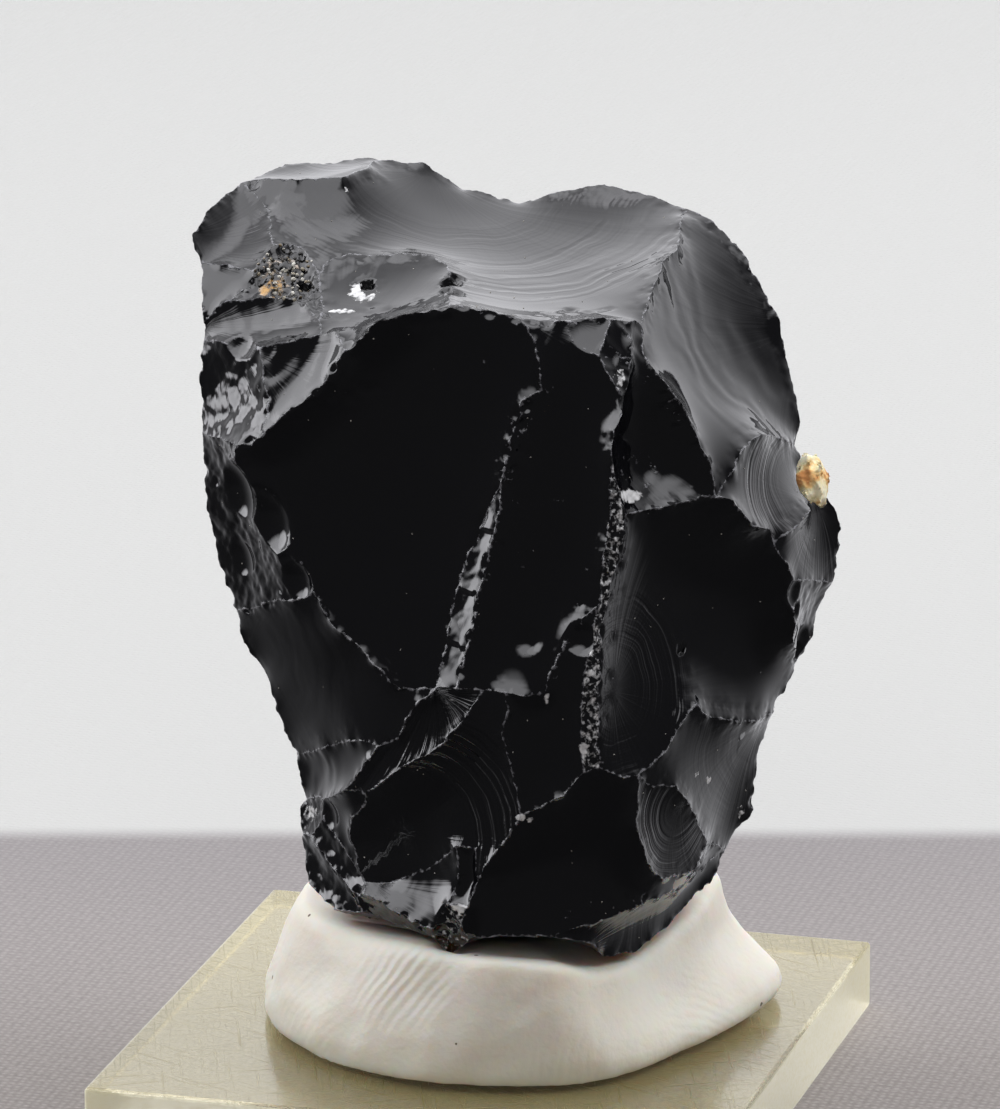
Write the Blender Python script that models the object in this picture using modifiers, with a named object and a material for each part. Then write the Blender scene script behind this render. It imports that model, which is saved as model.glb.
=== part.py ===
"""Slag glass chunk: a lump of black furnace-slag glass, broken all round by shell-shaped scars, with a small ochre
crust in a notch of its right edge. It stands in a lump of mineral putty on a clear acrylic plate.

Frame: millimetres turned into metres, Z up, origin at the middle of the plate's underside, plate edges along X and Y.
The glass is laid out on a leaning drawing (see `upright`) and then turned about Z on its plate.
"""

from math import cos, radians, sin

import bmesh
import bpy
import numpy as np
from mathutils import Vector, noise
from mathutils.geometry import delaunay_2d_cdt

MM = 0.001

# acrylic plate
PLATE_SIDE = 32.0
PLATE_THICK = 3.5
PLATE_BEVEL = 0.25

# placing of the specimen on the plate
TURN = radians(15.5)  # turn of the glass about Z
LEAN = radians(16.4)  # lean of the drawing that the corners are laid out on
DRAWN_SIZE = 0.975  # millimetres for each unit of the drawing
DRAWN_MIDDLE = 26.3  # height on the drawing that stays put when it is sized
SHIFT_X = 0.7

GAP = 0.3  # clearance left between pieces that are pressed together
GRID = 1.15  # spacing of the points inside a scar

# Corners of the scars: across, depth behind the middle of the specimen, height on the leaning drawing.
# corner: (across x, depth d behind the middle, height h on the leaning drawing)
CORNERS = dict(
 r1=(-15.6,5,42.6), r2=(-14,8,44.7), r3=(-13,9,45.3), r4=(-11,11,46.3), r5=(-7.9,12,46.6), r6=(-6.1,12.5,46.6), r7=(-4,13,46.5),
 r8=(-2,13,45.2), r9=(1,13,44.5), r10=(2.6,13,45), r11=(5.4,13,45.3), r12=(7.7,12.5,44.8), r13=(9.4,11.5,44.2),
 r14=(10.8,10.5,43.5), r15=(12.6,9,41.5), r16=(14.1,7.5,38.4), r17=(14.8,6.5,35.7), r18=(15.2,5.5,33.1), r19=(15.1,5,32),
 r20=(15.3,4.5,31.4), rc1=(15.1,3.7,30.4), rc2=(15.6,3.2,29.3), r21=(16.9,3.5,29.2), r22=(17.4,3.5,27.5), r23=(16.9,3.5,25),
 r24=(16.3,3.5,23.7), r25=(16,3,21.7), r26=(15.1,2.5,20.8), r27=(14.4,2,19.4), r28=(14,1.5,18.3), r29=(13,1,15.5),
 r30=(12.9,1,13.1), r31=(12,.5,12.3), r32=(11.5,0,11.1), r33=(10.7,-1.4,9.5), r34=(8.4,-4,7.3), r35=(6.6,-6.3,6.2),
 r36=(5.2,-7.9,6.1), r37=(4.6,-9.2,6.8), r38=(2.6,-9.8,7.2), r39=(0,-10,7.1), r40=(-1.6,-9.5,6.9), r41=(-2.6,-8.5,6.1),
 r42=(-3.4,-8,7.2), r43=(-5.7,-6.5,7.8), r44b=(-7,-5.8,8.2), r44=(-8.4,-4.5,8.4), r45=(-9.7,-2.5,9.8), r46=(-10.1,-1.5,12),
 r47=(-10.2,-1.2,13.5), j5=(-9.9,-1.2,14), r49=(-10.2,-1,15), r50=(-10.5,-1,16.2), r51=(-11.6,-.5,19.5), r52=(-12.6,0,21.2),
 r53=(-13.6,.5,23.5), r54=(-14.3,.8,25.7), r55=(-14.6,1,28), r56=(-14.9,1,30), r57=(-15.1,1,32.5), r58=(-15.3,1.5,35.5),
 r59=(-14.9,2,37.2), r60=(-14.9,2.1,38.1), r61=(-15.1,3.5,40.2), r62=(-15.2,4.2,41.1),
 a1=(-13.2,-3,31.9), a2=(-11.9,-3.8,32.3), a3=(-10.9,-4.1,33), a4=(-10,-4.3,33.8), a5=(-9,-4.5,34.8), a6=(-8.2,-4.6,35.8),
 a7=(-7.8,-4.6,36.5), a8=(-7,-5,37), a9=(-6,-5.2,37.8), a10=(-5,-5.3,38.1), a11=(-3.5,-5.3,38.3), a12=(-2.5,-5.2,38.6),
 a13=(-1.2,-5.2,38.4), a14=(0,-5.3,38.3), a15=(1.2,-5.5,37.9), a16=(2.2,-5.3,37.8), a17=(3,-5.2,37.9), a18=(3.8,-5,37.9),
 a19=(4.6,-4.8,38.1), a20=(5.5,-4.6,38.1), a21=(6.3,-4.3,37.9), a22=(6.5,-4.8,37), a23=(6.6,-5.2,36.2),
 b0=(7,-4.2,36.5), b1=(7,-3.2,37.8), b2=(7.5,-1,39), b3=(7.9,1,40.1), b4=(8.2,3,41), b5=(9.1,6,42), b6=(9.3,8.5,42.9),
 c1=(8.2,-4.8,34.8), c2=(9.6,-5,32.8), c3=(10.6,-5.1,30.5), c4=(10.8,-5.2,29.2),
 e1=(13.2,-1,32.3), e2=(12.2,-2.5,31.7), e3=(11.5,-3.8,30.4),
 g1=(15.8,1,28.4), g2=(14.5,-1.5,27.3), g3=(13.8,-2.2,26.7), g4=(13.6,-2.5,27.4), g5=(12.6,-3.8,27.8), g6=(12.2,-4.3,28.4), g7=(11.7,-4.8,29),
 h1=(14.5,-1.5,25.6), h2=(14.8,-1,25), h3=(14.8,-1,24), h4=(14.9,-.8,22.8), h5=(14.8,-.5,21.8),
 m1=(13.2,-1,18), m2=(12.5,-2.2,17.8), m3=(11.7,-3.5,18), m4=(10.5,-5,18.3), m5=(9.8,-5.8,18.8), m6=(9,-6.6,17.8), m7=(8.2,-7.5,16.5),
 m8=(7.6,-8.2,15.7), m9=(6.9,-8.8,15.2), m10=(6.2,-9.3,15.2), m11=(5.6,-9.7,15.5), m12=(5,-10,15.7),
 s1=(4.9,-10,16.8), s2=(5,-9.9,18), s3=(4.9,-9.8,19.5), s4=(4.9,-9.6,21.2), s5=(5.1,-9.3,22.8), s6=(5.4,-9,24), s7=(5.6,-8.8,25),
 s8=(5.9,-8.5,26.3), s9=(6.1,-8.2,27.5), s10=(6.1,-8,28.4), s11=(5.8,-8.1,29.8),
 y1=(4.1,-10.3,17), y2=(4.1,-10.2,19), y3=(4.2,-10,21), y4=(4.6,-9.7,22.5), y5=(5,-9.4,23.9), y6=(5.1,-9.1,25.2), y7=(5.2,-8.8,27),
 y8=(5.4,-8.5,28.5), y9=(5.5,-8.2,30), y10=(5.5,-8,31), q1=(4.2,-10.4,15.4),
 d1=(7,-7,28.5), d2=(8.5,-6.2,28.7), d3=(10,-5.5,29.1),
 z1=(5.6,-7.6,32.5), z2=(5.9,-7.3,33.3), z3=(6,-6.8,34.2), z4=(6.4,-6,35.2),
 p1=(4.2,-5.8,36.5), p2=(5,-5.9,36.2), p3=(5.2,-6.2,35.6), p4=(5.5,-6.6,34.8),
 f12=(1.8,-5.8,36.9), f11=(2,-6.1,36), f10=(1.9,-6.4,34.5), f9=(1,-6.7,33.8), f8=(.8,-7,32.5), f7=(.5,-7.3,31.5), f6=(0,-7.7,29.8),
 f5=(0,-7.9,28.5), f4=(-.5,-8.2,26.5), f3=(-1.1,-8.6,24), f2=(-1.8,-9,21.5), f1=(-2.2,-9.3,19.6), f0=(-1,-9.5,19.5),
 l5=(-.9,-7.2,28), l4=(-1.6,-7.3,26), l3=(-2.4,-7.6,23.5), l2=(-2.9,-8.0,21.5), l1=(-3.2,-8.5,19.6),
 w5=(.1,-9.8,19.5), x1=(1.5,-9.8,19.3), x2=(2.3,-9.9,19.5), x3=(2.8,-9.7,21), x4=(3.3,-9.6,22.3), x5=(4.1,-9.5,23),
 o1=(-5,-8,19.5), o2=(-5.8,-7.5,20.3), o3=(-6.8,-6.9,21.3), o4=(-7.8,-6.3,22.3), o5=(-8.8,-5.7,23.4), o6=(-9.4,-5.2,24.5), o7=(-10.8,-4.3,26),
 o8=(-11.9,-3.6,28), o9=(-13,-3,29.8), o10=(-13.3,-2.9,30.9), o11=(-10.5,-4,24), o12=(-11.9,-2.3,23.9),
 i1=(-4,-8.6,19), i2=(-4.8,-8.3,18.1), i3=(-5.2,-8,17.2), i4=(-6,-7.4,16.8), i5=(-6.5,-6.8,17), i6=(-7.8,-5.5,16.9), i7=(-8.8,-4,16.5), i8=(-10,-2,16.2),
 j1=(-6.4,-7.3,16.2), j2=(-7.2,-6.7,15.4), j3=(-7.8,-6,14.5), j4=(-8.8,-4,14),
 ga1=(-6.9,-6.6,14.3), ga2=(-5.9,-7.5,14.8), ga3=(-5,-8.2,15.6), ga4=(-4,-8.8,16.2), ga5=(-3,-9.2,16.9), ga6=(-2,-9.5,17.9),
 w4=(.4,-9.9,18.4), w3=(.2,-10,17.2), w2=(.5,-10.2,15.8), w1=(.8,-10.4,14.5), v4=(.9,-10.6,13.2), v5=(2,-10.6,13.9), v6=(3.1,-10.5,14.4),
 v3=(0,-10.3,11.8), v2=(-1.1,-9.8,10), v1=(-1.8,-10,8.6), v0=(-2,-9.8,7.8),
 la1=(-6.8,-6.3,13.8), la2=(-7.5,-5.5,13.1), la3=(-7.6,-5.3,12.2), la4=(-7.3,-5.5,11), la5=(-6.9,-6,9.8),
 lb1=(-9,-3.2,12.9), lb2=(-8.5,-3.8,12.2), lb3=(-7.9,-4.6,11.5), lb4=(-7.2,-5.4,10.4),
 ca5=(-5.6,-6.3,9.8), ca4=(-4.8,-6.8,10), ca3=(-3.8,-7.5,10.4), ca2=(-2.8,-8.4,11.2), ca1=(-2.2,-9.1,11.7),
 sl1=(-1.2,-9.5,11.6), sl2=(-1.1,-9.6,10.8), cb3=(-2,-9.3,10.6), cb2=(-2.3,-9.2,9.6), cb1=(-2.7,-9.3,8.8), cb4=(-3,-9.2,7.5),
 cc1=(-4,-8.6,7.8), cc2=(-5,-7.9,8.3), cc3=(-5.9,-7.3,8.8), cc4=(-6.8,-6.5,9.2), cd1=(-7.3,-5.8,9.1), bl1=(-9.6,-2.5,12), bl2=(-8.5,-4,10.5),
 n1=(7.6,-8,14.6), n2=(8.8,-6.8,14.6), n3=(9.4,-6,14), n4=(9.9,-4.8,12.9), n5=(10.5,-3.2,11.8),
 t1=(6.9,-9,13), t2=(7.3,-8.6,10.9), t3=(8.3,-7.2,10), t4=(9.9,-4.8,10.3),
 u2=(4.4,-9.6,7.7), u3=(5.4,-9,8.1), u4=(6.9,-8,8.6), u5=(7.8,-6.8,8.9), u6=(9,-4.8,9.4), u7=(10.3,-2.5,10.4),
 ul1=(-11.9,7.5,43.8), ul2=(-11.5,4.5,42), ul3=(-12.5,2.8,40.8), ul5=(-12.5,2.3,40), ul6=(-13.8,2.1,39.1), ul8=(-11.9,1.2,39.2), ul9=(-10,0,39),
 ul10=(-9.2,-1.5,38), ul11=(-9,-2.8,37.3), ul12=(-10.8,-2,36.8), ul13=(-12.5,-1,36.7), ul14=(-14,.5,37), ul15=(-11.9,-1.5,36.5),
 ul16=(-11.8,-2.5,35), ul17=(-11.6,-3.2,33.8), ul18=(-10,4.5,41.8), ul19=(-9.1,2.5,40.5), ul20=(-8.8,3.5,41.1), ul21=(-7.8,4,41.5),
 ul22=(-6,3.5,41.5), ul23=(-3.5,3,41.4), ul24=(-2.7,2,40.9), ul25=(-2.4,-1,39.8), ul26=(-8.9,0,38.8), ul27=(-8.3,-3.3,37.4),
 k1=(0,14,36.5), k2=(8.5,12,30), k3=(-9,9.5,31), k4=(1,10,17), k5=(-7,5.5,14), k6=(0,-1.5,7.0), k7=(6.5,.5,7.8), k8=(-5.5,-1.5,7.6), k10=(2,4,9),
 tb1=(-10.2,8.2,45.4), tb2=(-8.1,8.4,45.6), tb3=(-6.8,10.2,46.1),
)
# facet: (loop, dish depth mm)
SCARS = dict(
 top=("r3 ul1 ul2 ul18 ul19 ul20 ul21 ul22 ul23 ul24 ul25 a12 a13 a14 a15 a16 a17 a18 a19 a20 a21 b1 b2 b3 b4 b5 b6 r13 r12 r11 r10 r9 r8 r7 r6 tb3 tb2 tb1", 1.2),
 top_back=("r3 tb1 tb2 tb3 r6 r5 r4", .1),
 top2=("ul19 ul26 ul10 ul11 ul27 a7 a8 a9 a10 a11 a12 ul25 ul24 ul23 ul22 ul21 ul20", .5),
 dip=("r1 r62 ul3 ul2 ul1 r3 r2", .5),
 ul_bright=("r62 r61 r60 ul6 ul5 ul3", .1),
 hackly=("ul3 ul5 ul6 ul8 ul9 ul10 ul26 ul19 ul18 ul2", .2),
 oval=("r60 r59 ul14 ul13 ul12 ul11 ul10 ul9 ul8 ul6", .4),
 left_bright=("r59 r58 r57 a1 a2 ul17 ul16 ul15 ul13 ul14", .3),
 left_band=("ul13 ul15 ul16 ul17 a2 a3 a4 a5 a6 a7 ul27 ul11 ul12", .3),
 face1=("a1 o10 o9 o8 o7 o6 o5 o4 o3 o2 o1 l1 l2 l3 l4 l5 f6 f7 f8 f9 f10 f11 f12 a15 a14 a13 a12 a11 a10 a9 a8 a7 a6 a5 a4 a3 a2", 1.0),
 strip=("f6 l5 l4 l3 l2 l1 f1 f2 f3 f4 f5", .05),
 face2=("a15 f12 f11 f10 f9 f8 f7 f6 f5 f4 f3 f2 f1 f0 w5 x1 x2 x3 x4 x5 y5 y6 y7 y8 y9 y10 z1 z2 z3 p4 p3 p2 p1 a18 a17 a16", 1.0),
 chip2=("a18 p1 p2 a20 a19", .1),
 chip3=("a20 p2 a23 a22 a21", .1),
 chip4=("p2 p3 p4 z3 z4 a23", .1),
 pocket=("a21 a22 a23 z4 z3 z2 z1 y10 s11 s10 d1 d2 d3 c4 c3 c2 c1 b0 b1", 1.5),
 right_top=("b1 b0 c1 c2 c3 c4 e3 e2 e1 r19 r18 r17 r16 r15 r14 r13 b6 b5 b4 b3 b2", .9),
 right_arc=("c4 g7 g6 g5 g4 g3 g2 g1 rc2 rc1 r20 r19 e1 e2 e3", .5),
 right_edge=("rc2 g1 g2 g3 h1 h2 r23 r22 r21", .2),
 right_edge2=("h2 h3 h4 h5 r26 r25 r24 r23", .2),
 right_scar=("c4 d3 d2 d1 s10 s9 s8 s7 s6 s5 s4 s3 s2 s1 m12 m11 m10 m9 m8 m7 m6 m5 m4 m3 m2 m1 r28 r27 r26 h5 h4 h3 h2 h1 g3 g4 g5 g6 g7", 1.4),
 ridge=("y10 y9 y8 y7 y6 y5 y4 y3 y2 y1 q1 m12 s1 s2 s3 s4 s5 s6 s7 s8 s9 s10 s11", .0),
 face3=("y5 x5 x4 x3 x2 x1 w5 w4 w3 w2 w1 v4 v5 v6 q1 y1 y2 y3 y4", .5),
 right_low=("r28 m1 m2 m3 m4 m5 m6 m7 m8 m9 n1 n2 n3 n4 n5 r32 r31 r30 r29", .4),
 ripple=("m9 t1 t2 t3 t4 n5 n4 n3 n2 n1", .3),
 big_low=("q1 v6 v5 v4 v3 v2 v1 v0 r40 r39 r38 u2 u3 u4 u5 u6 u7 r32 n5 t4 t3 t2 t1 m9 m10 m11 m12", .3),
 under_right=("r38 r37 r36 r35 r34 r33 r32 u7 u6 u5 u4 u3 u2", .3),
 left_edge=("a1 r57 r56 r55 r54 r53 o12 o11 o6 o7 o8 o9 o10", .3),
 left_low=("o6 o11 o12 r53 r52 r51 r50 i8 i7 i6 i5 i4 i3 i2 i1 l1 o1 o2 o3 o4 o5", .15),
 left_shelf=("r50 r49 j5 j4 j3 j2 j1 i4 i5 i6 i7 i8", .3),
 hackle_band=("l1 i1 i2 i3 i4 j1 j2 j3 ga1 ga2 ga3 ga4 ga5 ga6 f0 f1", .3),
 left_hollow=("f0 ga6 ga5 ga4 ga3 ga2 ga1 la1 la2 la3 la4 la5 ca5 ca4 ca3 ca2 ca1 sl1 sl2 v2 v3 v4 w1 w2 w3 w4 w5", .5),
 hollow_side=("j4 lb1 lb2 lb3 lb4 la5 la4 la3 la2 la1 ga1 j3", .2),
 slot=("ca1 cb3 cb2 cb1 v1 v2 sl2 sl1", .3),
 crescent=("la5 cc4 cc3 cc2 cc1 cb4 cb1 cb2 cb3 ca1 ca2 ca3 ca4 ca5", .2),
 tooth=("cb1 cb4 r42 r41 r40 v0 v1", .1),
 low_band=("cc4 cd1 r44b r43 r42 cb4 cc1 cc2 cc3", .1),
 chips1=("j5 r47 r46 bl1 lb1 j4", .1),
 chips2=("lb1 bl1 bl2 cd1 cc4 la5 lb4 lb3 lb2", .1),
 chips3=("bl1 r46 r45 r44 r44b cd1 bl2", .2),
 back_ul=("r7 k1 k3 r1 r2 r3 r4 r5 r6", .8),
 back_ur=("r13 k2 k1 r7 r8 r9 r10 r11 r12", .8),
 back_l=("r1 k3 r53 r54 r55 r56 r57 r58 r59 r60 r61 r62", .6),
 back_ll=("k3 k5 r46 r47 j5 r49 r50 r51 r52 r53", .6),
 back_mid=("k1 k2 k4 k5 k3", 1.2),
 back_r=("r13 r14 r15 r16 r17 r18 r19 r20 rc1 rc2 r21 r22 k2", .6),
 back_rm=("r22 r23 r24 r25 r26 r27 r28 r29 k4 k2", .8),
 back_rl=("r29 r30 r31 r32 r33 k7 k10 k4", .5),
 back_low=("k4 k10 k8 r44 r45 r46 k5", .5),
 under=("r33 r34 r35 r36 r37 r38 r39 r40 r41 r42 r43 r44b r44 k8 k6 k7", .2),
 under_back=("k6 k8 k10 k7", .1),
)


def upright(x, depth, height):
    """A corner of the leaning drawing as a point of the specimen, in millimetres, before the turn."""
    x = DRAWN_SIZE * x + SHIFT_X
    height = DRAWN_MIDDLE + DRAWN_SIZE * (height - DRAWN_MIDDLE)
    return np.array((x, depth, (height - depth * sin(LEAN)) / cos(LEAN)))


def edge_points(start, end, spacing):
    """Points from start up to but not including end, the same ones whichever way round the edge is walked."""
    a, b = upright(*CORNERS[start]), upright(*CORNERS[end])
    steps = max(1, round(np.linalg.norm(b - a) / spacing))
    if start > end:
        return [b + (a - b) * (1 - i / steps) for i in range(steps)]
    return [a + (b - a) * (i / steps) for i in range(steps)]


def scar_mesh(loop, dish, spacing):
    """Points and triangles of one scar: a skin stretched over its rim and dished inwards."""
    names = loop.split()
    rim = np.array([p for a, b in zip(names, names[1:] + names[:1]) for p in edge_points(a, b, spacing)])
    middle = rim.mean(axis=0)
    normal = sum(np.cross(p - middle, q - middle) for p, q in zip(rim, np.roll(rim, -1, axis=0)))
    normal /= np.linalg.norm(normal)
    across = np.cross((0, 0, 1) if abs(normal[2]) < 0.9 else (1, 0, 0), normal)
    across /= np.linalg.norm(across)
    axes = np.array((across, np.cross(normal, across), normal))
    flat = (rim - middle) @ axes.T
    low, high = flat[:, :2].min(axis=0), flat[:, :2].max(axis=0)
    inner = []
    for row, v in enumerate(np.arange(low[1] + spacing / 2, high[1], spacing * 0.87)):
        for u in np.arange(low[0] + spacing * (0.5 if row % 2 else 0.0), high[0], spacing):
            nxt = np.roll(flat, -1, axis=0)
            crossed = (flat[:, 1] > v) != (nxt[:, 1] > v)
            cut = flat[crossed, 0] + (v - flat[crossed, 1]) * (nxt - flat)[crossed, 0] / (nxt - flat)[crossed, 1]
            if (cut > u).sum() % 2 and np.hypot(flat[:, 0] - u, flat[:, 1] - v).min() > 0.6 * spacing:
                inner.append((u, v))
    plan = [Vector(p) for p in [*flat[:, :2], *inner]]
    plan, _, faces, *_ = delaunay_2d_cdt(plan, [], [list(range(len(rim)))], 1, 1e-6)
    total, fixed = len(plan), len(rim)
    if total > fixed:
        joins = np.zeros((total, total))
        for a, b, c in faces:
            joins[[a, b, b, c, c, a], [b, a, c, b, a, c]] = 1
        ties = np.diag(joins.sum(axis=1)) - joins
        free = ties[fixed:, fixed:]
        stretched = np.linalg.solve(free, -ties[fixed:, :fixed] @ flat[:, 2])
        dent = np.linalg.solve(free, np.ones(total - fixed))
        heights = stretched - dish * dent / dent.max()
    else:
        heights = np.zeros(0)
    points = np.column_stack((np.array([tuple(p) for p in plan]), np.concatenate((flat[:, 2], heights))))
    return points @ axes + middle, faces


def chunk_mesh(spacing):
    """The whole broken surface: every scar, joined where their rims meet."""
    mesh = bmesh.new()
    for loop, dish in SCARS.values():
        points, faces = scar_mesh(loop, dish, spacing)
        corners = [mesh.verts.new(MM * p) for p in points]
        for face in faces:
            mesh.faces.new([corners[i] for i in face])
    bmesh.ops.remove_doubles(mesh, verts=mesh.verts, dist=0.002 * MM)
    return mesh


def add_object(name, mesh, material, collection, parent=None):
    data = bpy.data.meshes.new(name)
    mesh.to_mesh(data)
    mesh.free()
    data.materials.append(material)
    obj = bpy.data.objects.new(name, data)
    collection.objects.link(obj)
    obj.parent = parent
    return obj


def add_material(name, colour, roughness, metallic=0.0, transmission=0.0):
    material = bpy.data.materials.new(name)
    material.use_nodes = True
    shader = material.node_tree.nodes["Principled BSDF"]
    shader.inputs["Base Color"].default_value = (*colour, 1)
    shader.inputs["Roughness"].default_value = roughness
    shader.inputs["Metallic"].default_value = metallic
    shader.inputs["Transmission Weight"].default_value = transmission
    return material


def cut(target, cutter, name):
    step = target.modifiers.new(name, "BOOLEAN")
    step.operation = "DIFFERENCE"
    step.solver = "EXACT"
    step.use_self = True
    step.object = cutter
    cutter.hide_render = True
    cutter.display_type = "WIRE"


for old in list(bpy.data.objects):
    bpy.data.objects.remove(old)
parts = bpy.data.collections.new("slag glass chunk")
cutters = bpy.data.collections.new("cutters")
for collection in (parts, cutters):
    bpy.context.scene.collection.children.link(collection)

# the specimen stands turned on its plate
specimen = bpy.data.objects.new("specimen", None)
specimen.rotation_euler.z = TURN
parts.objects.link(specimen)

glass = add_material("slag glass", (0.006, 0.006, 0.007), 0.05)
crust = add_material("ochre crust", (0.68, 0.52, 0.27), 0.85)
putty = add_material("mineral putty", (0.78, 0.74, 0.67), 0.6)
acrylic = add_material("acrylic", (0.93, 0.91, 0.8), 0.05, transmission=1.0)

# the chunk of glass, with the few burst bubbles and pits that open on its scars (across, depth, height, radii)
PITS = {
    "bubble": ((-6.7, 1.1, 39.75), (0.45, 0.6, 0.45)),
    "hackly_pit": ((-9.8, 1.2, 39.6), (0.6, 0.9, 0.5)),
    "notch": ((-2.3, -0.9, 40.0), (0.4, 0.9, 0.6)),
    "slanted_pit": ((8.9, -5.0, 21.4), (0.35, 0.6, 0.65)),
}
chunk = add_object("glass_chunk", chunk_mesh(GRID), glass, parts, specimen)
for name, (place, radii) in PITS.items():
    ball = bmesh.new()
    bmesh.ops.create_icosphere(ball, subdivisions=2, radius=1)
    for vert in ball.verts:
        vert.co = Vector(MM * (upright(*place) + np.array(vert.co) * radii))
    cut(chunk, add_object(name, ball, glass, cutters, specimen), name)

# a swollen copy of the chunk, which leaves the clearance round it
swollen = chunk_mesh(GRID)
swollen.normal_update()
for vert in swollen.verts:
    vert.co += vert.normal * 1.3 * GAP * MM
swollen = add_object("swollen_chunk", swollen, glass, cutters, specimen)

# the ochre crust: a lumpy bead in the notch of the right edge
CRUST_AT = (15.7, 2.6, 29.8)
CRUST_RADII = (0.95, 1.7, 1.6)
bead = bmesh.new()
bmesh.ops.create_icosphere(bead, subdivisions=3, radius=1)
for vert in bead.verts:
    lump = 1 + 0.22 * noise.noise(vert.co * 2.2) + 0.1 * noise.noise(vert.co * 5)
    vert.co = Vector(MM * (upright(*CRUST_AT) + np.array(vert.co) * lump * CRUST_RADII))
cut(add_object("ochre_crust", bead, crust, parts, specimen), swollen, "leave the glass")

# the putty: rings of points from the foot up to the brim that grips the glass (across, depth, height)
FOOT = [(-12.0, 1.7), (-11.9, -2.2), (-11.2, -4.4), (-10.2, -6.3), (-8.8, -8.3), (-6.4, -10.2), (-3.2, -11.5), (-0.3, -11.9),
        (3.4, -11.8), (6.3, -10.4), (9.3, -7.1), (12.4, -2.9), (14.2, 0.6), (14.5, 3.6), (12.8, 6.8), (8, 9.5), (1, 10.5), (-6, 9), (-10.7, 5.5)]
BRIM = [(-10.2, 0.8, 9.7), (-10.1, -2.2, 9.9), (-9.3, -4.2, 9.9), (-8.2, -5.4, 9.8), (-6.9, -6.8, 9.8), (-4.8, -8.5, 10), (-2.2, -10, 9.9),
        (0, -10.9, 9.9), (3, -10.8, 9.6), (5.3, -8.8, 8.6), (7.6, -5.2, 8.4), (10.2, -1.7, 9.4), (11, 0.8, 9.9), (11.3, 3, 10), (10.3, 5.2, 10),
        (7, 7.4, 9.8), (1, 8.2, 9.6), (-5.2, 7, 9.6), (-9, 4.3, 9.7)]
PUTTY_LIFT = 0.3  # gap between the putty and the plate


def smooth_ring(ring, count):
    """A closed Catmull-Rom curve through the ring, as count points."""
    ring = np.array(ring, float)
    made = []
    for t in np.arange(count) * len(ring) / count:
        i, f = int(t), t % 1
        a, b, c, d = (ring[(i + k) % len(ring)] for k in (-1, 0, 1, 2))
        made.append(0.5 * (2 * b + (c - a) * f + (2 * a - 5 * b + 4 * c - d) * f**2 + (3 * b - a - 3 * c + d) * f**3))
    return np.array(made)


AROUND = 72
bottom = PLATE_THICK + PUTTY_LIFT
foot = smooth_ring([(x, y, bottom) for x, y in FOOT], AROUND)
brim = smooth_ring(BRIM, AROUND)
rings = []
PROFILE = [(0.0, 0.93), (0.03, 0.975), (0.1, 1.0), (0.2, 0.975), (0.35, 0.85), (0.5, 0.68), (0.66, 0.48), (0.82, 0.28), (0.94, 0.1), (1.0, -0.1)]
pinch = 1 + 1.8 * np.clip(foot[:, :1] / 14, 0, 1) ** 2  # the right-hand end is pinched out to a point
for share, outward in PROFILE:
    ring = brim + (foot - brim) * (outward**pinch if outward > 0 else outward)
    ring[:, 2] = bottom + (brim[:, 2] - bottom) * share
    rings.append(ring)
centre = brim.mean(axis=0) - (0, 0, 0.6)
for share in (0.7, 0.35):
    rings.append(centre + (rings[len(PROFILE) - 1] - centre) * share)
lump = bmesh.new()
rows = [[lump.verts.new(MM * Vector((DRAWN_SIZE * x + SHIFT_X, y, z))) for x, y, z in ring] for ring in rings]
for low, high in zip(rows, rows[1:]):
    for i in range(AROUND):
        lump.faces.new((low[i - 1], low[i], high[i], high[i - 1]))
lump.faces.new(rows[0][::-1])
lump.faces.new(rows[-1])
for vert in lump.verts:
    if vert not in rows[0]:
        place = vert.co / MM
        push = 0.24 * noise.noise(place * 0.35) + 0.12 * noise.noise(place * 0.9)
        vert.co += MM * push * Vector((place.x, place.y, 0)).normalized()
bmesh.ops.recalc_face_normals(lump, faces=lump.faces)
cut(add_object("mounting_putty", lump, putty, parts, specimen), swollen, "grip the glass")

# the acrylic plate
plate = bmesh.new()
bmesh.ops.create_cube(plate, size=1)
bmesh.ops.scale(plate, vec=MM * Vector((PLATE_SIDE, PLATE_SIDE, PLATE_THICK)), verts=plate.verts)
bmesh.ops.translate(plate, vec=(0, 0, MM * PLATE_THICK / 2), verts=plate.verts)
plate = add_object("acrylic_base", plate, acrylic, parts)
rounding = plate.modifiers.new("eased edges", "BEVEL")
rounding.width = PLATE_BEVEL * MM
rounding.segments = 1
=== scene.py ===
"""The looks of a slag glass chunk standing in mineral putty on a clear acrylic plate."""

from functools import partial
from math import cos, pi, radians, sin

import bmesh
import bpy
import numpy as np
from mathutils import Matrix, Vector, noise
from mathutils.geometry import delaunay_2d_cdt


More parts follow.
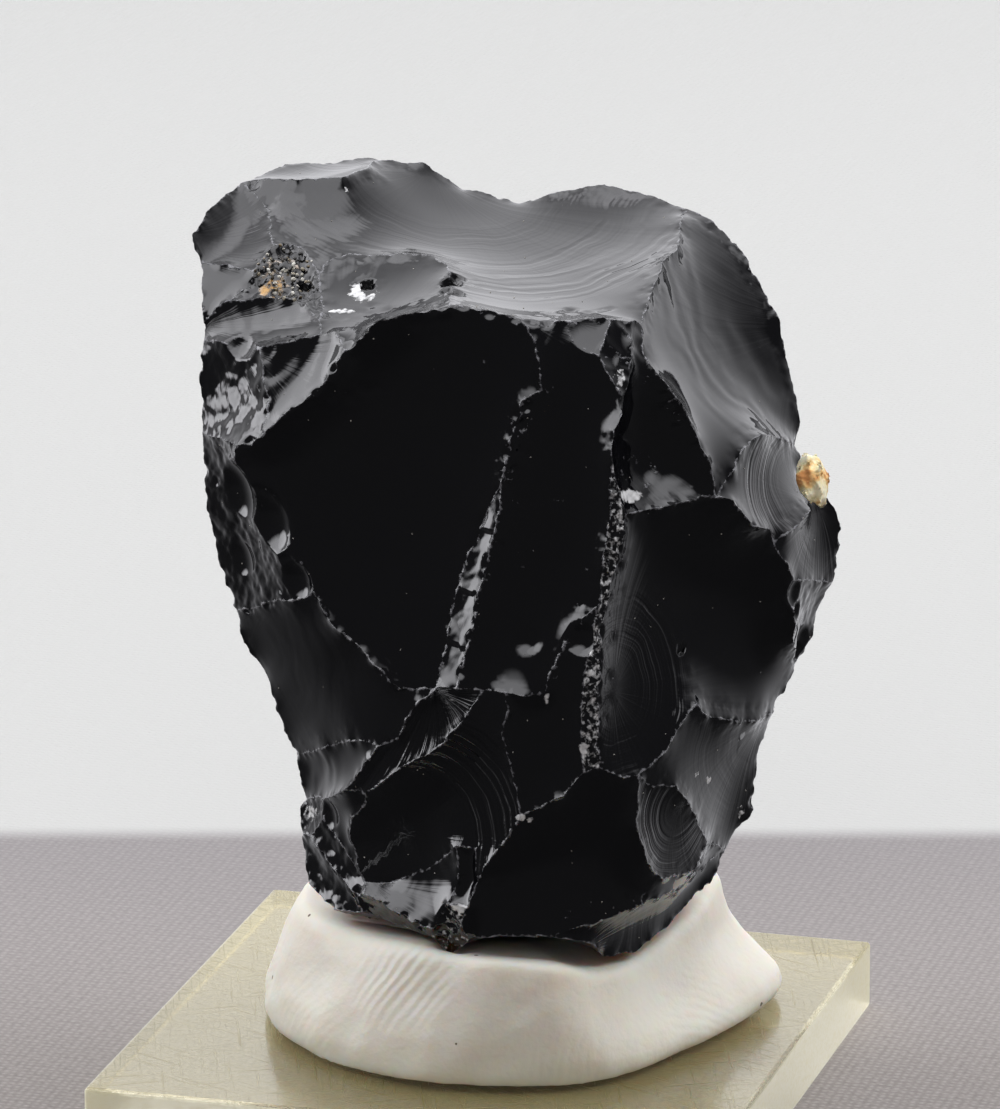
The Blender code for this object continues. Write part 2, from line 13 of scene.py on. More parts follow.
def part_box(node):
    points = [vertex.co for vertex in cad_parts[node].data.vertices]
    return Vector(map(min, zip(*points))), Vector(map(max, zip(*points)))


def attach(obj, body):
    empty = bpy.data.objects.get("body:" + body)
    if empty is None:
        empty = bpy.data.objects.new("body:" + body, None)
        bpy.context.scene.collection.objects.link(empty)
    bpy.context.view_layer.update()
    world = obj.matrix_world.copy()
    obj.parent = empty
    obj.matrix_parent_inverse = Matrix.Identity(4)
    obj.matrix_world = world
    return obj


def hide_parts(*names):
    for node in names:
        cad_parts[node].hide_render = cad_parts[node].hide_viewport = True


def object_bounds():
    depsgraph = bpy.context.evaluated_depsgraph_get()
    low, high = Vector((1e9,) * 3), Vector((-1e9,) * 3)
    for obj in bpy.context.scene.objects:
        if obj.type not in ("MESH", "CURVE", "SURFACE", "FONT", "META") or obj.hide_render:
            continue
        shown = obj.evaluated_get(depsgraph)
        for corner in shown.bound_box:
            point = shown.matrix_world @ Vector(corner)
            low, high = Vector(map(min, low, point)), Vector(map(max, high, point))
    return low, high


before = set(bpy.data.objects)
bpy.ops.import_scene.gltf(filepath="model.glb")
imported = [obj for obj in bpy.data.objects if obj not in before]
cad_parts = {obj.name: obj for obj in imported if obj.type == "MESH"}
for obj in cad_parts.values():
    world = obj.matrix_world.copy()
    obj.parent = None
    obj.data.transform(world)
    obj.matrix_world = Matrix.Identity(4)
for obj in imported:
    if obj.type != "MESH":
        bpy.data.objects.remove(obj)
cad_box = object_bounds()

# -----------------------------------------------------------------------------------------------------------
# The glass chunk: one lump of black furnace slag that cooled to glass and was then broken out of its heap.
# Every side is a conchoidal scar, dished and rippled round the point where the blow landed, with chipped
# ridges between the scars.
# -----------------------------------------------------------------------------------------------------------
MM = 0.001
TURN = radians(15.5)  # turn of the specimen on its plate
LEAN = radians(16.4)  # lean of the drawing that the corners are laid out on
DRAWN_SIZE = 0.975
DRAWN_MIDDLE = 26.3
SHIFT_X = 0.7

FINE = 0.13  # spacing of the points near a ridge, in millimetres
COARSE = 0.27  # spacing in the middle of a scar
RIDGE_BAND = 0.6  # how far from a ridge the fine spacing reaches
PIT_BAND = 0.9  # and how far from the middle of a pit
NARROW = 5  # a scar narrower than this has fine spacing all over


def numbered(name):
    """The letters and the number that a corner's name is made of."""
    letters = name.rstrip("0123456789")
    return letters, int(name[len(letters) :] or 0)


# Corners of the scars: across, depth behind the middle of the specimen, and height on the leaning drawing.
# Each list starts at the corner that it is named for, and the others are numbered on from there.
CORNERS = {}
for first, places in dict(
    r1=[(-15.6,5,42.6), (-14,8,44.7), (-13,9,45.3), (-11,11,46.3), (-7.9,12,46.6), (-6.1,12.5,46.6),
        (-4,13,46.5), (-2,13,45.2), (1,13,44.5), (2.6,13,45), (5.4,13,45.3), (7.7,12.5,44.8),
        (9.4,11.5,44.2), (10.8,10.5,43.5), (12.6,9,41.5), (14.1,7.5,38.4), (14.8,6.5,35.7),
        (15.2,5.5,33.1), (15.1,5,32), (15.3,4.5,31.4), (16.9,3.5,29.2), (17.4,3.5,27.5), (16.9,3.5,25),
        (16.3,3.5,23.7), (16,3,21.7), (15.1,2.5,20.8), (14.4,2,19.4), (14,1.5,18.3), (13,1,15.5),
        (12.9,1,13.1), (12,.5,12.3), (11.5,0,11.1), (10.7,-1.4,9.5), (8.4,-4,7.3), (6.6,-6.3,6.2),
        (5.2,-7.9,6.1), (4.6,-9.2,6.8), (2.6,-9.8,7.2), (0,-10,7.1), (-1.6,-9.5,6.9), (-2.6,-8.5,6.1),
        (-3.4,-8,7.2), (-5.7,-6.5,7.8), (-8.4,-4.5,8.4), (-9.7,-2.5,9.8), (-10.1,-1.5,12),
        (-10.2,-1.2,13.5)],
    r49=[(-10.2,-1,15), (-10.5,-1,16.2), (-11.6,-.5,19.5), (-12.6,0,21.2), (-13.6,.5,23.5),
        (-14.3,.8,25.7), (-14.6,1,28), (-14.9,1,30), (-15.1,1,32.5), (-15.3,1.5,35.5), (-14.9,2,37.2),
        (-14.9,2.1,38.1), (-15.1,3.5,40.2), (-15.2,4.2,41.1)],
    rc1=[(15.1,3.7,30.4), (15.6,3.2,29.3)],
    j1=[(-6.4,-7.3,16.2), (-7.2,-6.7,15.4), (-7.8,-6,14.5), (-8.8,-4,14), (-9.9,-1.2,14)],
    a1=[(-13.2,-3,31.9), (-11.9,-3.8,32.3), (-10.9,-4.1,33), (-10,-4.3,33.8), (-9,-4.5,34.8),
        (-8.2,-4.6,35.8), (-7.8,-4.6,36.5), (-7,-5,37), (-6,-5.2,37.8), (-5,-5.3,38.1), (-3.5,-5.3,38.3),
        (-2.5,-5.2,38.6), (-1.2,-5.2,38.4), (0,-5.3,38.3), (1.2,-5.5,37.9), (2.2,-5.3,37.8), (3,-5.2,37.9),
        (3.8,-5,37.9), (4.6,-4.8,38.1), (5.5,-4.6,38.1), (6.3,-4.3,37.9), (6.5,-4.8,37), (6.6,-5.2,36.2)],
    b0=[(7,-4.2,36.5), (7,-3.2,37.8), (7.5,-1,39), (7.9,1,40.1), (8.2,3,41), (9.1,6,42), (9.3,8.5,42.9)],
    c1=[(8.2,-4.8,34.8), (9.6,-5,32.8), (10.6,-5.1,30.5), (10.8,-5.2,29.2)],
    e1=[(13.2,-1,32.3), (12.2,-2.5,31.7), (11.5,-3.8,30.4)],
    g1=[(15.8,1,28.4), (14.5,-1.5,27.3), (13.8,-2.2,26.7), (13.6,-2.5,27.4), (12.6,-3.8,27.8),
        (12.2,-4.3,28.4), (11.7,-4.8,29)],
    h1=[(14.5,-1.5,25.6), (14.8,-1,25), (14.8,-1,24), (14.9,-.8,22.8), (14.8,-.5,21.8)],
    m1=[(13.2,-1,18), (12.5,-2.2,17.8), (11.7,-3.5,18), (10.5,-5,18.3), (9.8,-5.8,18.8), (9,-6.6,17.8),
        (8.2,-7.5,16.5), (7.6,-8.2,15.7), (6.9,-8.8,15.2), (6.2,-9.3,15.2), (5.6,-9.7,15.5), (5,-10,15.7)],
    s1=[(4.9,-10,16.8), (5,-9.9,18), (4.9,-9.8,19.5), (4.9,-9.6,21.2), (5.1,-9.3,22.8), (5.4,-9,24),
        (5.6,-8.8,25), (5.9,-8.5,26.3), (6.1,-8.2,27.5), (6.1,-8,28.4), (5.8,-8.1,29.8)],
    y1=[(4.1,-10.3,17), (4.1,-10.2,19), (4.2,-10,21), (4.6,-9.7,22.5), (5,-9.4,23.9), (5.1,-9.1,25.2),
        (5.2,-8.8,27), (5.4,-8.5,28.5), (5.5,-8.2,30), (5.5,-8,31)],
    q1=[(4.2,-10.4,15.4)],
    d1=[(7,-7,28.5), (8.5,-6.2,28.7), (10,-5.5,29.1)],
    z1=[(5.6,-7.6,32.5), (5.9,-7.3,33.3), (6,-6.8,34.2), (6.4,-6,35.2)],
    p1=[(4.2,-5.8,36.5), (5,-5.9,36.2), (5.2,-6.2,35.6), (5.5,-6.6,34.8)],
    f0=[(-1,-9.5,19.5), (-2.2,-9.3,19.6), (-1.8,-9,21.5), (-1.1,-8.6,24), (-.5,-8.2,26.5), (0,-7.9,28.5),
        (0,-7.7,29.8), (.5,-7.3,31.5), (.8,-7,32.5), (1,-6.7,33.8), (1.9,-6.4,34.5), (2,-6.1,36),
        (1.8,-5.8,36.9)],
    l1=[(-3.2,-8.5,19.6), (-2.9,-8,21.5), (-2.4,-7.6,23.5), (-1.6,-7.3,26), (-.9,-7.2,28)],
    w1=[(.8,-10.4,14.5), (.5,-10.2,15.8), (.2,-10,17.2), (.4,-9.9,18.4), (.1,-9.8,19.5)],
    x1=[(1.5,-9.8,19.3), (2.3,-9.9,19.5), (2.8,-9.7,21), (3.3,-9.6,22.3), (4.1,-9.5,23)],
    o1=[(-5,-8,19.5), (-5.8,-7.5,20.3), (-6.8,-6.9,21.3), (-7.8,-6.3,22.3), (-8.8,-5.7,23.4),
        (-9.4,-5.2,24.5), (-10.8,-4.3,26), (-11.9,-3.6,28), (-13,-3,29.8), (-13.3,-2.9,30.9),
        (-10.5,-4,24), (-11.9,-2.3,23.9)],
    i1=[(-4,-8.6,19), (-4.8,-8.3,18.1), (-5.2,-8,17.2), (-6,-7.4,16.8), (-6.5,-6.8,17), (-7.8,-5.5,16.9),
        (-8.8,-4,16.5), (-10,-2,16.2)],
    ga1=[(-6.9,-6.6,14.3), (-5.9,-7.5,14.8), (-5,-8.2,15.6), (-4,-8.8,16.2), (-3,-9.2,16.9),
        (-2,-9.5,17.9)],
    v0=[(-2,-9.8,7.8), (-1.8,-10,8.6), (-1.1,-9.8,10), (0,-10.3,11.8), (.9,-10.6,13.2), (2,-10.6,13.9),
        (3.1,-10.5,14.4)],
    la1=[(-6.8,-6.3,13.8), (-7.5,-5.5,13.1), (-7.6,-5.3,12.2), (-7.3,-5.5,11), (-6.9,-6,9.8)],
    lb1=[(-9,-3.2,12.9), (-8.5,-3.8,12.2), (-7.9,-4.6,11.5), (-7.2,-5.4,10.4)],
    ca1=[(-2.2,-9.1,11.7), (-2.8,-8.4,11.2), (-3.8,-7.5,10.4), (-4.8,-6.8,10), (-5.6,-6.3,9.8)],
    sl1=[(-1.2,-9.5,11.6), (-1.1,-9.6,10.8)],
    cb1=[(-2.7,-9.3,8.8), (-2.3,-9.2,9.6), (-2,-9.3,10.6), (-3,-9.2,7.5)],
    cc1=[(-4,-8.6,7.8), (-5,-7.9,8.3), (-5.9,-7.3,8.8), (-6.8,-6.5,9.2)],
    cd1=[(-7.3,-5.8,9.1)],
    bl1=[(-9.6,-2.5,12), (-8.5,-4,10.5)],
    n1=[(7.6,-8,14.6), (8.8,-6.8,14.6), (9.4,-6,14), (9.9,-4.8,12.9), (10.5,-3.2,11.8)],
    t1=[(6.9,-9,13), (7.3,-8.6,10.9), (8.3,-7.2,10), (9.9,-4.8,10.3)],
    u2=[(4.4,-9.6,7.7), (5.4,-9,8.1), (6.9,-8,8.6), (7.8,-6.8,8.9), (9,-4.8,9.4), (10.3,-2.5,10.4)],
    ul1=[(-11.9,7.5,43.8), (-11.5,4.5,42), (-12.5,2.8,40.8)],
    ul5=[(-12.5,2.3,40), (-13.8,2.1,39.1)],
    ul8=[(-11.9,1.2,39.2), (-10,0,39), (-9.2,-1.5,38), (-9,-2.8,37.3), (-10.8,-2,36.8), (-12.5,-1,36.7),
        (-14,.5,37), (-11.9,-1.5,36.5), (-11.8,-2.5,35), (-11.6,-3.2,33.8), (-10,4.5,41.8),
        (-9.1,2.5,40.5), (-8.8,3.5,41.1), (-7.8,4,41.5), (-6,3.5,41.5), (-3.5,3,41.4), (-2.7,2,40.9),
        (-2.4,-1,39.8), (-8.9,0,38.8), (-8.3,-3.3,37.4)],
    k1=[(0,14,36.5), (8.5,12,30), (-9,9.5,31), (1,10,17), (-7,5.5,14), (0,-1.5,7), (6.5,.5,7.8),
        (-5.5,-1.5,7.6)],
    k10=[(2,4,9)],
    tb1=[(-10.2,8.2,45.4), (-8.1,8.4,45.6), (-6.8,10.2,46.1)],
).items():
    letters, start = numbered(first)
    CORNERS.update({f"{letters}{start + i}": place for i, place in enumerate(places)})
CORNERS["r44b"] = (-7, -5.8, 8.2)


def walk(path):
    """The corners along a path, in which r3-r6 stands for all from r3 to r6."""
    corners = []
    for step in path.split():
        first, _, last = step.partition("-")
        letters, start = numbered(first)
        end = numbered(last)[1] if last else start
        way = 1 if end > start else -1
        corners += [f"{letters}{i}" for i in range(start, end + way, way)] if last else [first]
    return corners


# The scars: the corners round each one, and how deep it is dished in millimetres.
SCARS = dict(
    top=("r3 ul1 ul2 ul18-ul25 a12-a21 b1-b6 r13-r6 tb3-tb1", 1.2),
    top_back=("r3 tb1-tb3 r6-r4", .1),
    top2=("ul19 ul26 ul10 ul11 ul27 a7-a12 ul25-ul20", .5),
    dip=("r1 r62 ul3-ul1 r3 r2", .5),
    ul_bright=("r62-r60 ul6 ul5 ul3", .1),
    hackly=("ul3 ul5 ul6 ul8-ul10 ul26 ul19 ul18 ul2", .2),
    oval=("r60 r59 ul14-ul8 ul6", .4),
    left_bright=("r59-r57 a1 a2 ul17-ul15 ul13 ul14", .3),
    left_band=("ul13 ul15-ul17 a2-a7 ul27 ul11 ul12", .3),
    face1=("a1 o10-o1 l1-l5 f6-f12 a15-a2", 1),
    strip=("f6 l5-l1 f1-f5", .05),
    face2=("a15 f12-f0 w5 x1-x5 y5-y10 z1-z3 p4-p1 a18-a16", 1),
    chip2=("a18 p1 p2 a20 a19", .1),
    chip3=("a20 p2 a23-a21", .1),
    chip4=("p2-p4 z3 z4 a23", .1),
    pocket=("a21-a23 z4-z1 y10 s11 s10 d1-d3 c4-c1 b0 b1", 1.5),
    right_top=("b1 b0 c1-c4 e3-e1 r19-r13 b6-b2", .9),
    right_arc=("c4 g7-g1 rc2 rc1 r20 r19 e1-e3", .5),
    right_edge=("rc2 g1-g3 h1 h2 r23-r21", .2),
    right_edge2=("h2-h5 r26-r23", .2),
    right_scar=("c4 d3-d1 s10-s1 m12-m1 r28-r26 h5-h1 g3-g7", 1.4),
    ridge=("y10-y1 q1 m12 s1-s11", 0),
    face3=("y5 x5-x1 w5-w1 v4-v6 q1 y1-y4", .5),
    right_low=("r28 m1-m9 n1-n5 r32-r29", .4),
    ripple=("m9 t1-t4 n5-n1", .3),
    big_low=("q1 v6-v0 r40-r38 u2-u7 r32 n5 t4-t1 m9-m12", .3),
    under_right=("r38-r32 u7-u2", .3),
    left_edge=("a1 r57-r53 o12 o11 o6-o10", .3),
    left_low=("o6 o11 o12 r53-r50 i8-i1 l1 o1-o5", .15),
    left_shelf=("r50 r49 j5-j1 i4-i8", .3),
    hackle_band=("l1 i1-i4 j1-j3 ga1-ga6 f0 f1", .3),
    left_hollow=("f0 ga6-ga1 la1-la5 ca5-ca1 sl1 sl2 v2-v4 w1-w5", .5),
    hollow_side=("j4 lb1-lb4 la5-la1 ga1 j3", .2),
    slot=("ca1 cb3-cb1 v1 v2 sl2 sl1", .3),
    crescent=("la5 cc4-cc1 cb4 cb1-cb3 ca1-ca5", .2),
    tooth=("cb1 cb4 r42-r40 v0 v1", .1),
    low_band=("cc4 cd1 r44b r43 r42 cb4 cc1-cc3", .1),
    chips1=("j5 r47 r46 bl1 lb1 j4", .1),
    chips2=("lb1 bl1 bl2 cd1 cc4 la5 lb4-lb2", .1),
    chips3=("bl1 r46-r44 r44b cd1 bl2", .2),
    back_ul=("r7 k1 k3 r1-r6", .8),
    back_ur=("r13 k2 k1 r7-r12", .8),
    back_l=("r1 k3 r53-r62", .6),
    back_ll=("k3 k5 r46 r47 j5 r49-r53", .6),
    back_mid=("k1 k2 k4 k5 k3", 1.2),
    back_r=("r13-r20 rc1 rc2 r21 r22 k2", .6),
    back_rm=("r22-r29 k4 k2", .8),
    back_rl=("r29-r33 k7 k10 k4", .5),
    back_low=("k4 k10 k8 r44-r46 k5", .5),
    under=("r33-r43 r44b r44 k8 k6 k7", .2),
    under_back=("k6 k8 k10 k7", .1),
)

# How each scar broke: where the blow landed (a corner, or across, depth and height), then the nearest and the
# furthest ripple, the ripple spacing and height, and the height of the hackles that fan out from the blow.
BREAKS = dict(
    top=((-3.5, 13, 46.5), 4.5, 16, 0.8, 0.012, 0.002),
    top_back=((-8, 13, 46), 0, 9, 0.6, 0.006, 0.002),
    top2=((-9, -6, 37), 2, 9, 0.8, 0.002, 0.002),
    dip=("r1", 0, 5, 0.7, 0.004, 0.004),
    oval=((-14.9, 2.3, 37.6), 0.6, 6, 1.15, 0.012, 0.006),
    left_bright=((-14.5, 2, 38), 0, 9, 1.6, 0.018, 0.003),
    left_band=((-12.5, -1, 36.5), 0, 7, 1.3, 0.02, 0.004),
    right_top=((16.5, 8, 38.5), 2, 12, 1.7, 0.016, 0.003),
    right_arc=((14.6, 2.5, 28.9), 2.3, 6.5, 0.5, 0.035, 0.002),
    right_edge=((15.8, 3, 29), 0, 5, 0.6, 0.008, 0.006),
    right_scar=((4.6, -7.5, 19.8), 1.9, 5.4, 0.4, 0.034, 0.004),
    right_low=((12, 1, 19), 1, 8, 0.7, 0.008, 0.003),
    ripple=((9.1, -6.1, 13.6), 1, 4.4, 0.36, 0.035, 0.002),
    left_hollow=((-4.8, -7, 12.2), 3, 8.5, 0.38, 0.042, 0.006),
    hackle_band=("l1", 0, 9, 0.5, 0.004, 0.03),
    left_shelf=((-10.5, -1, 16), 0, 5, 1.3, 0.008, 0.001),
    crescent=((-7, -6, 10), 0, 6, 1.2, 0.005, 0.003),
    pocket=((6, -6.8, 34), 0.5, 6, 0.9, 0.02, 0.004),
    face3=((0.5, -9.8, 19), 1, 7, 0.45, 0.003, 0.002),
    under_right=((3, -9, 7), 1, 9, 0.8, 0.008, 0.006),
    left_low=((-12.5, 0, 22), 1, 9, 1.4, 0.002, 0.001),
    back_mid=((0, 13.5, 34), 2, 14, 1.6, 0.06, 0.006),
    back_ul=((-4, 13, 45), 1, 9, 1.3, 0.03, 0.004),
    back_ur=((4, 13, 44), 1, 12, 1.3, 0.03, 0.006),
    back_l=((-15, 2, 37), 2, 12, 1.2, 0.03, 0.006),
    back_ll=((-9, 8, 29), 1, 12, 1.4, 0.03, 0.004),
    back_r=((14, 8, 38), 2, 12, 0.7, 0.01, 0.006),
    back_rm=((13, 3, 27), 1, 12, 1.2, 0.03, 0.006),
    back_rl=((12, 1, 15), 1, 9, 0.6, 0.01, 0.004),
    back_low=((0, 9, 16), 1, 9, 0.7, 0.01, 0.006),
)
# Scars that broke rough instead of clean: how far their points stand in and out, in millimetres.
ROUGH = dict(
    hackly=0.3, ridge=0.12, strip=0.02, left_edge=0.07, chips1=0.06, chips2=0.05, chips3=0.05, tooth=0.1,
    chip4=0.06, right_edge2=0.04, low_band=0.06, left_bright=0.03,
)
# Scars that are crushed white, and how white.
CRUSHED = dict(hackly=0.4, chip4=0.3, ridge=0.45, tooth=0.4)
# Scars that broke in steps: how high and how wide a step is, and the axis that the steps follow.
STEPPED = dict(strip=(-0.11, 2.8, 2), ridge=(0.14, 0.45, 0))
# Scars that lost a second crop of flakes: the widest flake, and how thickly they lie.
FLAKED = dict(
    left_edge=(2.4, 0.6), chips1=(1.5, 0.4), chips2=(1.3, 0.5), chips3=(1.8, 0.25), ridge=(0.6, 2),
    tooth=(0.7, 2.6), low_band=(0.8, 1), right_edge2=(1.8, 0.8), hackly=(0.5, 1), left_bright=(2.2, 0.7),
    oval=(2, 0.3),
)

# Burst bubbles and pits: across and height on the drawing, and the radius.
PITS = [
    (-6.65, 39.75, 0.42), (-9.85, 39.65, 0.45), (-10.8, 41.8, 0.3), (-2.1, 40.3, 0.45), (-2.45, 39.9, 0.55),
    (-2.2, 39.45, 0.5), (-2.7, 39.6, 0.4), (8.95, 21.6, 0.34), (8.75, 21.15, 0.3), (12.2, 17.1, 0.25),
]
# Lone flakes: across and height on the drawing, width, and the bearing and elevation of what they mirror.
FLAKES = [
    (-11.4, 26.6, 1.2, -101, 34), (-13, 28.4, 1.3, -105, 8), (-12.9, 25.3, 1.1, -110, 5),
    (4.6, 37.1, 1.6, -10, 62), (3.2, 37.9, 0.7, 10, 66), (6, 36, 0.8, 20, 60), (7.7, 30.2, 0.9, 10, 60),
    (-10, 24.2, 0.8, -98, 25), (4.6, 21.7, 0.6, -95, 25), (1.8, 21.7, 0.5, -95, 30),
    (-11.9, 14.8, 0.8, -98, 10), (-8.7, 12.6, 0.7, -90, 15),
]
# Small marks on the drawing: across, height, half width, half height and whiteness, then ochre and depth.
MARKS = [
    (-6.9, 39.5, 0.85, 0.6, 0.9, 0, 0), (-7.9, 38.5, 0.9, 0.16, 0.75, 0, 0),
    (-7.85, 44.9, 0.12, 0.12, 1, 0, 0), (6.5, 29.2, 0.7, 0.4, 1, 0, 0), (-2, 8.6, 0.4, 0.32, 1, 0, 0),
    (1, 13.2, 0.35, 0.2, 0.9, 0, 0), (1.5, 13.1, 0.2, 0.2, 0.9, 0, 0), (4.15, 16.7, 0.3, 0.35, 0.9, 0, 0),
    (10.5, 14.9, 0.2, 0.25, 0.9, 0, 0), (9.9, 15.2, 0.15, 0.2, 0.8, 0, 0), (4.5, 20.4, 0.3, 0.3, 0.7, 0, 0),
    (-2.4, 19, 0.6, 0.25, 0.6, 0, 0), (2.3, 19.2, 0.2, 0.6, 0.6, 0, 0), (6, 35, 0.4, 0.7, 0.6, 0, 0),
    (-11.5, 39.8, 1, 0.9, 0.5, 0.9, 0), (-11.9, 39.6, 0.35, 0.3, 0.9, 1, 0),
    (13.3, 20.3, 0.2, 0.15, 0.5, 0, 0), (-9.6, 13.2, 0.5, 0.6, 0.6, 0, 0),
    (2.3, 33.6, 0.8, 0.5, 0.3, 0.9, 0.03), (12.3, 13.2, 0.35, 0.6, 0.5, 0, 0),
    (-2.6, 20.7, 0.12, 0.9, 0.3, 0, 0), (1.6, 29, 1.2, 0.12, 0.35, 0, 0.02),
    (1.4, 26.5, 0.7, 0.8, 0.28, 0, 0.03),
]
# Shell-shaped flaws strewn along a line across a scar: its ends on the drawing, spread, how many, widest.
FLAWS = dict(
    face1=[
        ((1.6, 35.6), (0.2, 30), 0.12, 10, 0.3), ((-2.6, 19.9), (-2, 20.6), 0.3, 5, 0.4),
        ((-0.6, 28.8), (-3, 20), 0.12, 16, 0.3), ((-9, 34), (2, 36.5), 0.15, 14, 0.3),
    ],
    face2=[
        ((1.9, 35.4), (2.3, 33.2), 0.35, 16, 0.5), ((1.7, 33.4), (0.4, 29.4), 0.3, 30, 0.45),
        ((0.8, 28.8), (3.6, 29), 0.05, 9, 0.22), ((0.2, 28.4), (-1.6, 21.5), 0.12, 26, 0.4),
        ((0.6, 27), (1.4, 25.4), 0.4, 14, 0.3), ((3.2, 22), (4.4, 25.5), 0.12, 12, 0.4),
    ],
    face3=[
        ((2.4, 19.8), (3.6, 22.6), 0.1, 12, 0.4), ((4.3, 17), (4.6, 22.5), 0.15, 14, 0.35),
        ((0.6, 15), (0.4, 19), 0.1, 6, 0.3),
    ],
    pocket=[((6.3, 33), (6.8, 29.6), 0.3, 18, 0.6), ((7, 35.5), (9.6, 31.5), 0.1, 8, 0.3)],
    right_scar=[((6.2, 29.5), (5.4, 18), 0.2, 30, 0.5), ((7, 28.4), (9.6, 28.9), 0.08, 8, 0.3)],
    top=[
        ((-7.8, 41.4), (-3.5, 41.4), 0.1, 10, 0.3), ((-7, 37.4), (6, 38.6), 0.12, 40, 0.5),
        ((-12, 44.3), (-6, 43.2), 0.5, 4, 0.2),
    ],
    top2=[((-8.4, 38.3), (-3, 38.9), 0.15, 24, 0.5), ((-8, 38.2), (-6, 38.9), 0.1, 6, 0.5)],
    left_low=[((-10.8, 26), (-4.5, 19.4), 0.15, 18, 0.35), ((-12.6, 24.2), (-11, 24.6), 0.3, 14, 0.6)],
    big_low=[((0.6, 13.6), (4.2, 15.6), 0.1, 10, 0.3), ((3, 8.4), (8, 9.2), 0.15, 12, 0.4)],
)
# Nibbled ridges: the corners along the ridge, how many chips to a centimetre, and the widest chip.
NIBBLED = [
    ("a1-a21", 20, 0.85),
    ("f12-f1", 16, 0.7),
    ("s11-s1 m12", 18, 0.8),
    ("y10-y1 q1", 14, 0.5),
    ("r18-r20 rc1 rc2 r21-r33", 12, 0.9),
    ("r59-r49 j5 r47-r44", 12, 0.9),
    ("a21 b0-b6 r13", 9, 0.35),
    ("q1 m12-m9 t1", 14, 0.5),
    ("z1-z4 a23-a21", 16, 0.8),
    ("m1-m9", 10, 0.5),
]
LIGHTLY_NIBBLED = (6, 0.4)  # all other ridges


def upright(x, depth, height):
    """A corner of the leaning drawing as a point of the specimen, in millimetres, before the turn."""
    x = DRAWN_SIZE * x + SHIFT_X
    height = DRAWN_MIDDLE + DRAWN_SIZE * (height - DRAWN_MIDDLE)
    return np.array((x, depth, (height - depth * sin(LEAN)) / cos(LEAN)))


def drawn(points):
    """Across and height on the leaning drawing, for specimen points."""
    height = points[:, 2] * cos(LEAN) + points[:, 1] * sin(LEAN)
    return (points[:, 0] - SHIFT_X) / DRAWN_SIZE, DRAWN_MIDDLE + (height - DRAWN_MIDDLE) / DRAWN_SIZE


def unit(vector):
    return vector / np.linalg.norm(vector)


def on_glass(x, height):
    """The point of the glass that lies at a place on the drawing."""
    start, along = upright(x, -30, height), unit(upright(x, 30, height) - upright(x, -30, height))
    spin = Matrix.Rotation(TURN, 3, "Z")
    _, hit, _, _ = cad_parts["glass_chunk"].ray_cast(spin @ Vector(start) * MM, spin @ Vector(along))
    return np.array(spin.transposed() @ hit) / MM


def mirrored(bearing, elevation):
    """The way a flake faces when, seen from the front, it mirrors what lies at a bearing and elevation."""
    turn, rise = radians(bearing), radians(elevation)
    towards = np.array((sin(turn) * cos(rise), -cos(turn) * cos(rise), sin(rise)))
    return unit(towards + (0, -cos(LEAN), sin(LEAN)))


RIDGE_SEED = 1795484930  # settles which way each ridge wanders
noise.seed_set(RIDGE_SEED)


def wobble(point):
    """Where a point of a ridge really lies, since ridges wander."""
    p = Vector(point)
    swing, bend, jag = (noise.noise_vector(p * often) for often in (0.42, 1.5, 4))
    return point + np.array(0.2 * swing + 0.1 * bend + 0.05 * jag)


def ridge_points(start, end):
    """Points from start up to but not including end, the same ones whichever way the ridge is walked."""
    a, b = upright(*CORNERS[start]), upright(*CORNERS[end])
    steps = max(1, round(np.linalg.norm(b - a) / FINE))
    order = range(steps)
    if start > end:
        a, b, order = b, a, range(steps, 0, -1)
    return [wobble(a + (b - a) * (i / steps)) for i in order]


def middle_and_way(loop):
    """The middle of a loop of points and the way it faces."""
    middle = loop.mean(axis=0)
    return middle, unit(np.cross(loop - middle, np.roll(loop, -1, axis=0) - middle).sum(axis=0))


def corner_points(corners):
    return np.array([upright(*CORNERS[corner]) for corner in corners])


def pairs(corners, closed=False):
    """The stretches between neighbouring corners."""
    return zip(corners, corners[1:] + corners[:1] if closed else corners[1:])


def shell(dice, spot, way, widest, tilt=0.25):
    """One shell-shaped chip: the middle and radius of its sphere, and the way it was struck."""
    way = unit(unit(way) + tilt * (dice.random(3) * 2 - 1))
    width = widest * (0.2 + 0.8 * dice.random() ** 2.2)
    radius = width * (0.62 + 0.5 * dice.random())
    depth = width * (0.14 + 0.14 * dice.random())
    return (*(spot + way * (radius - depth)), radius, *way)


FLAKE_TILT = 0.35  # flakes and flaws are struck less squarely than the chips of a ridge


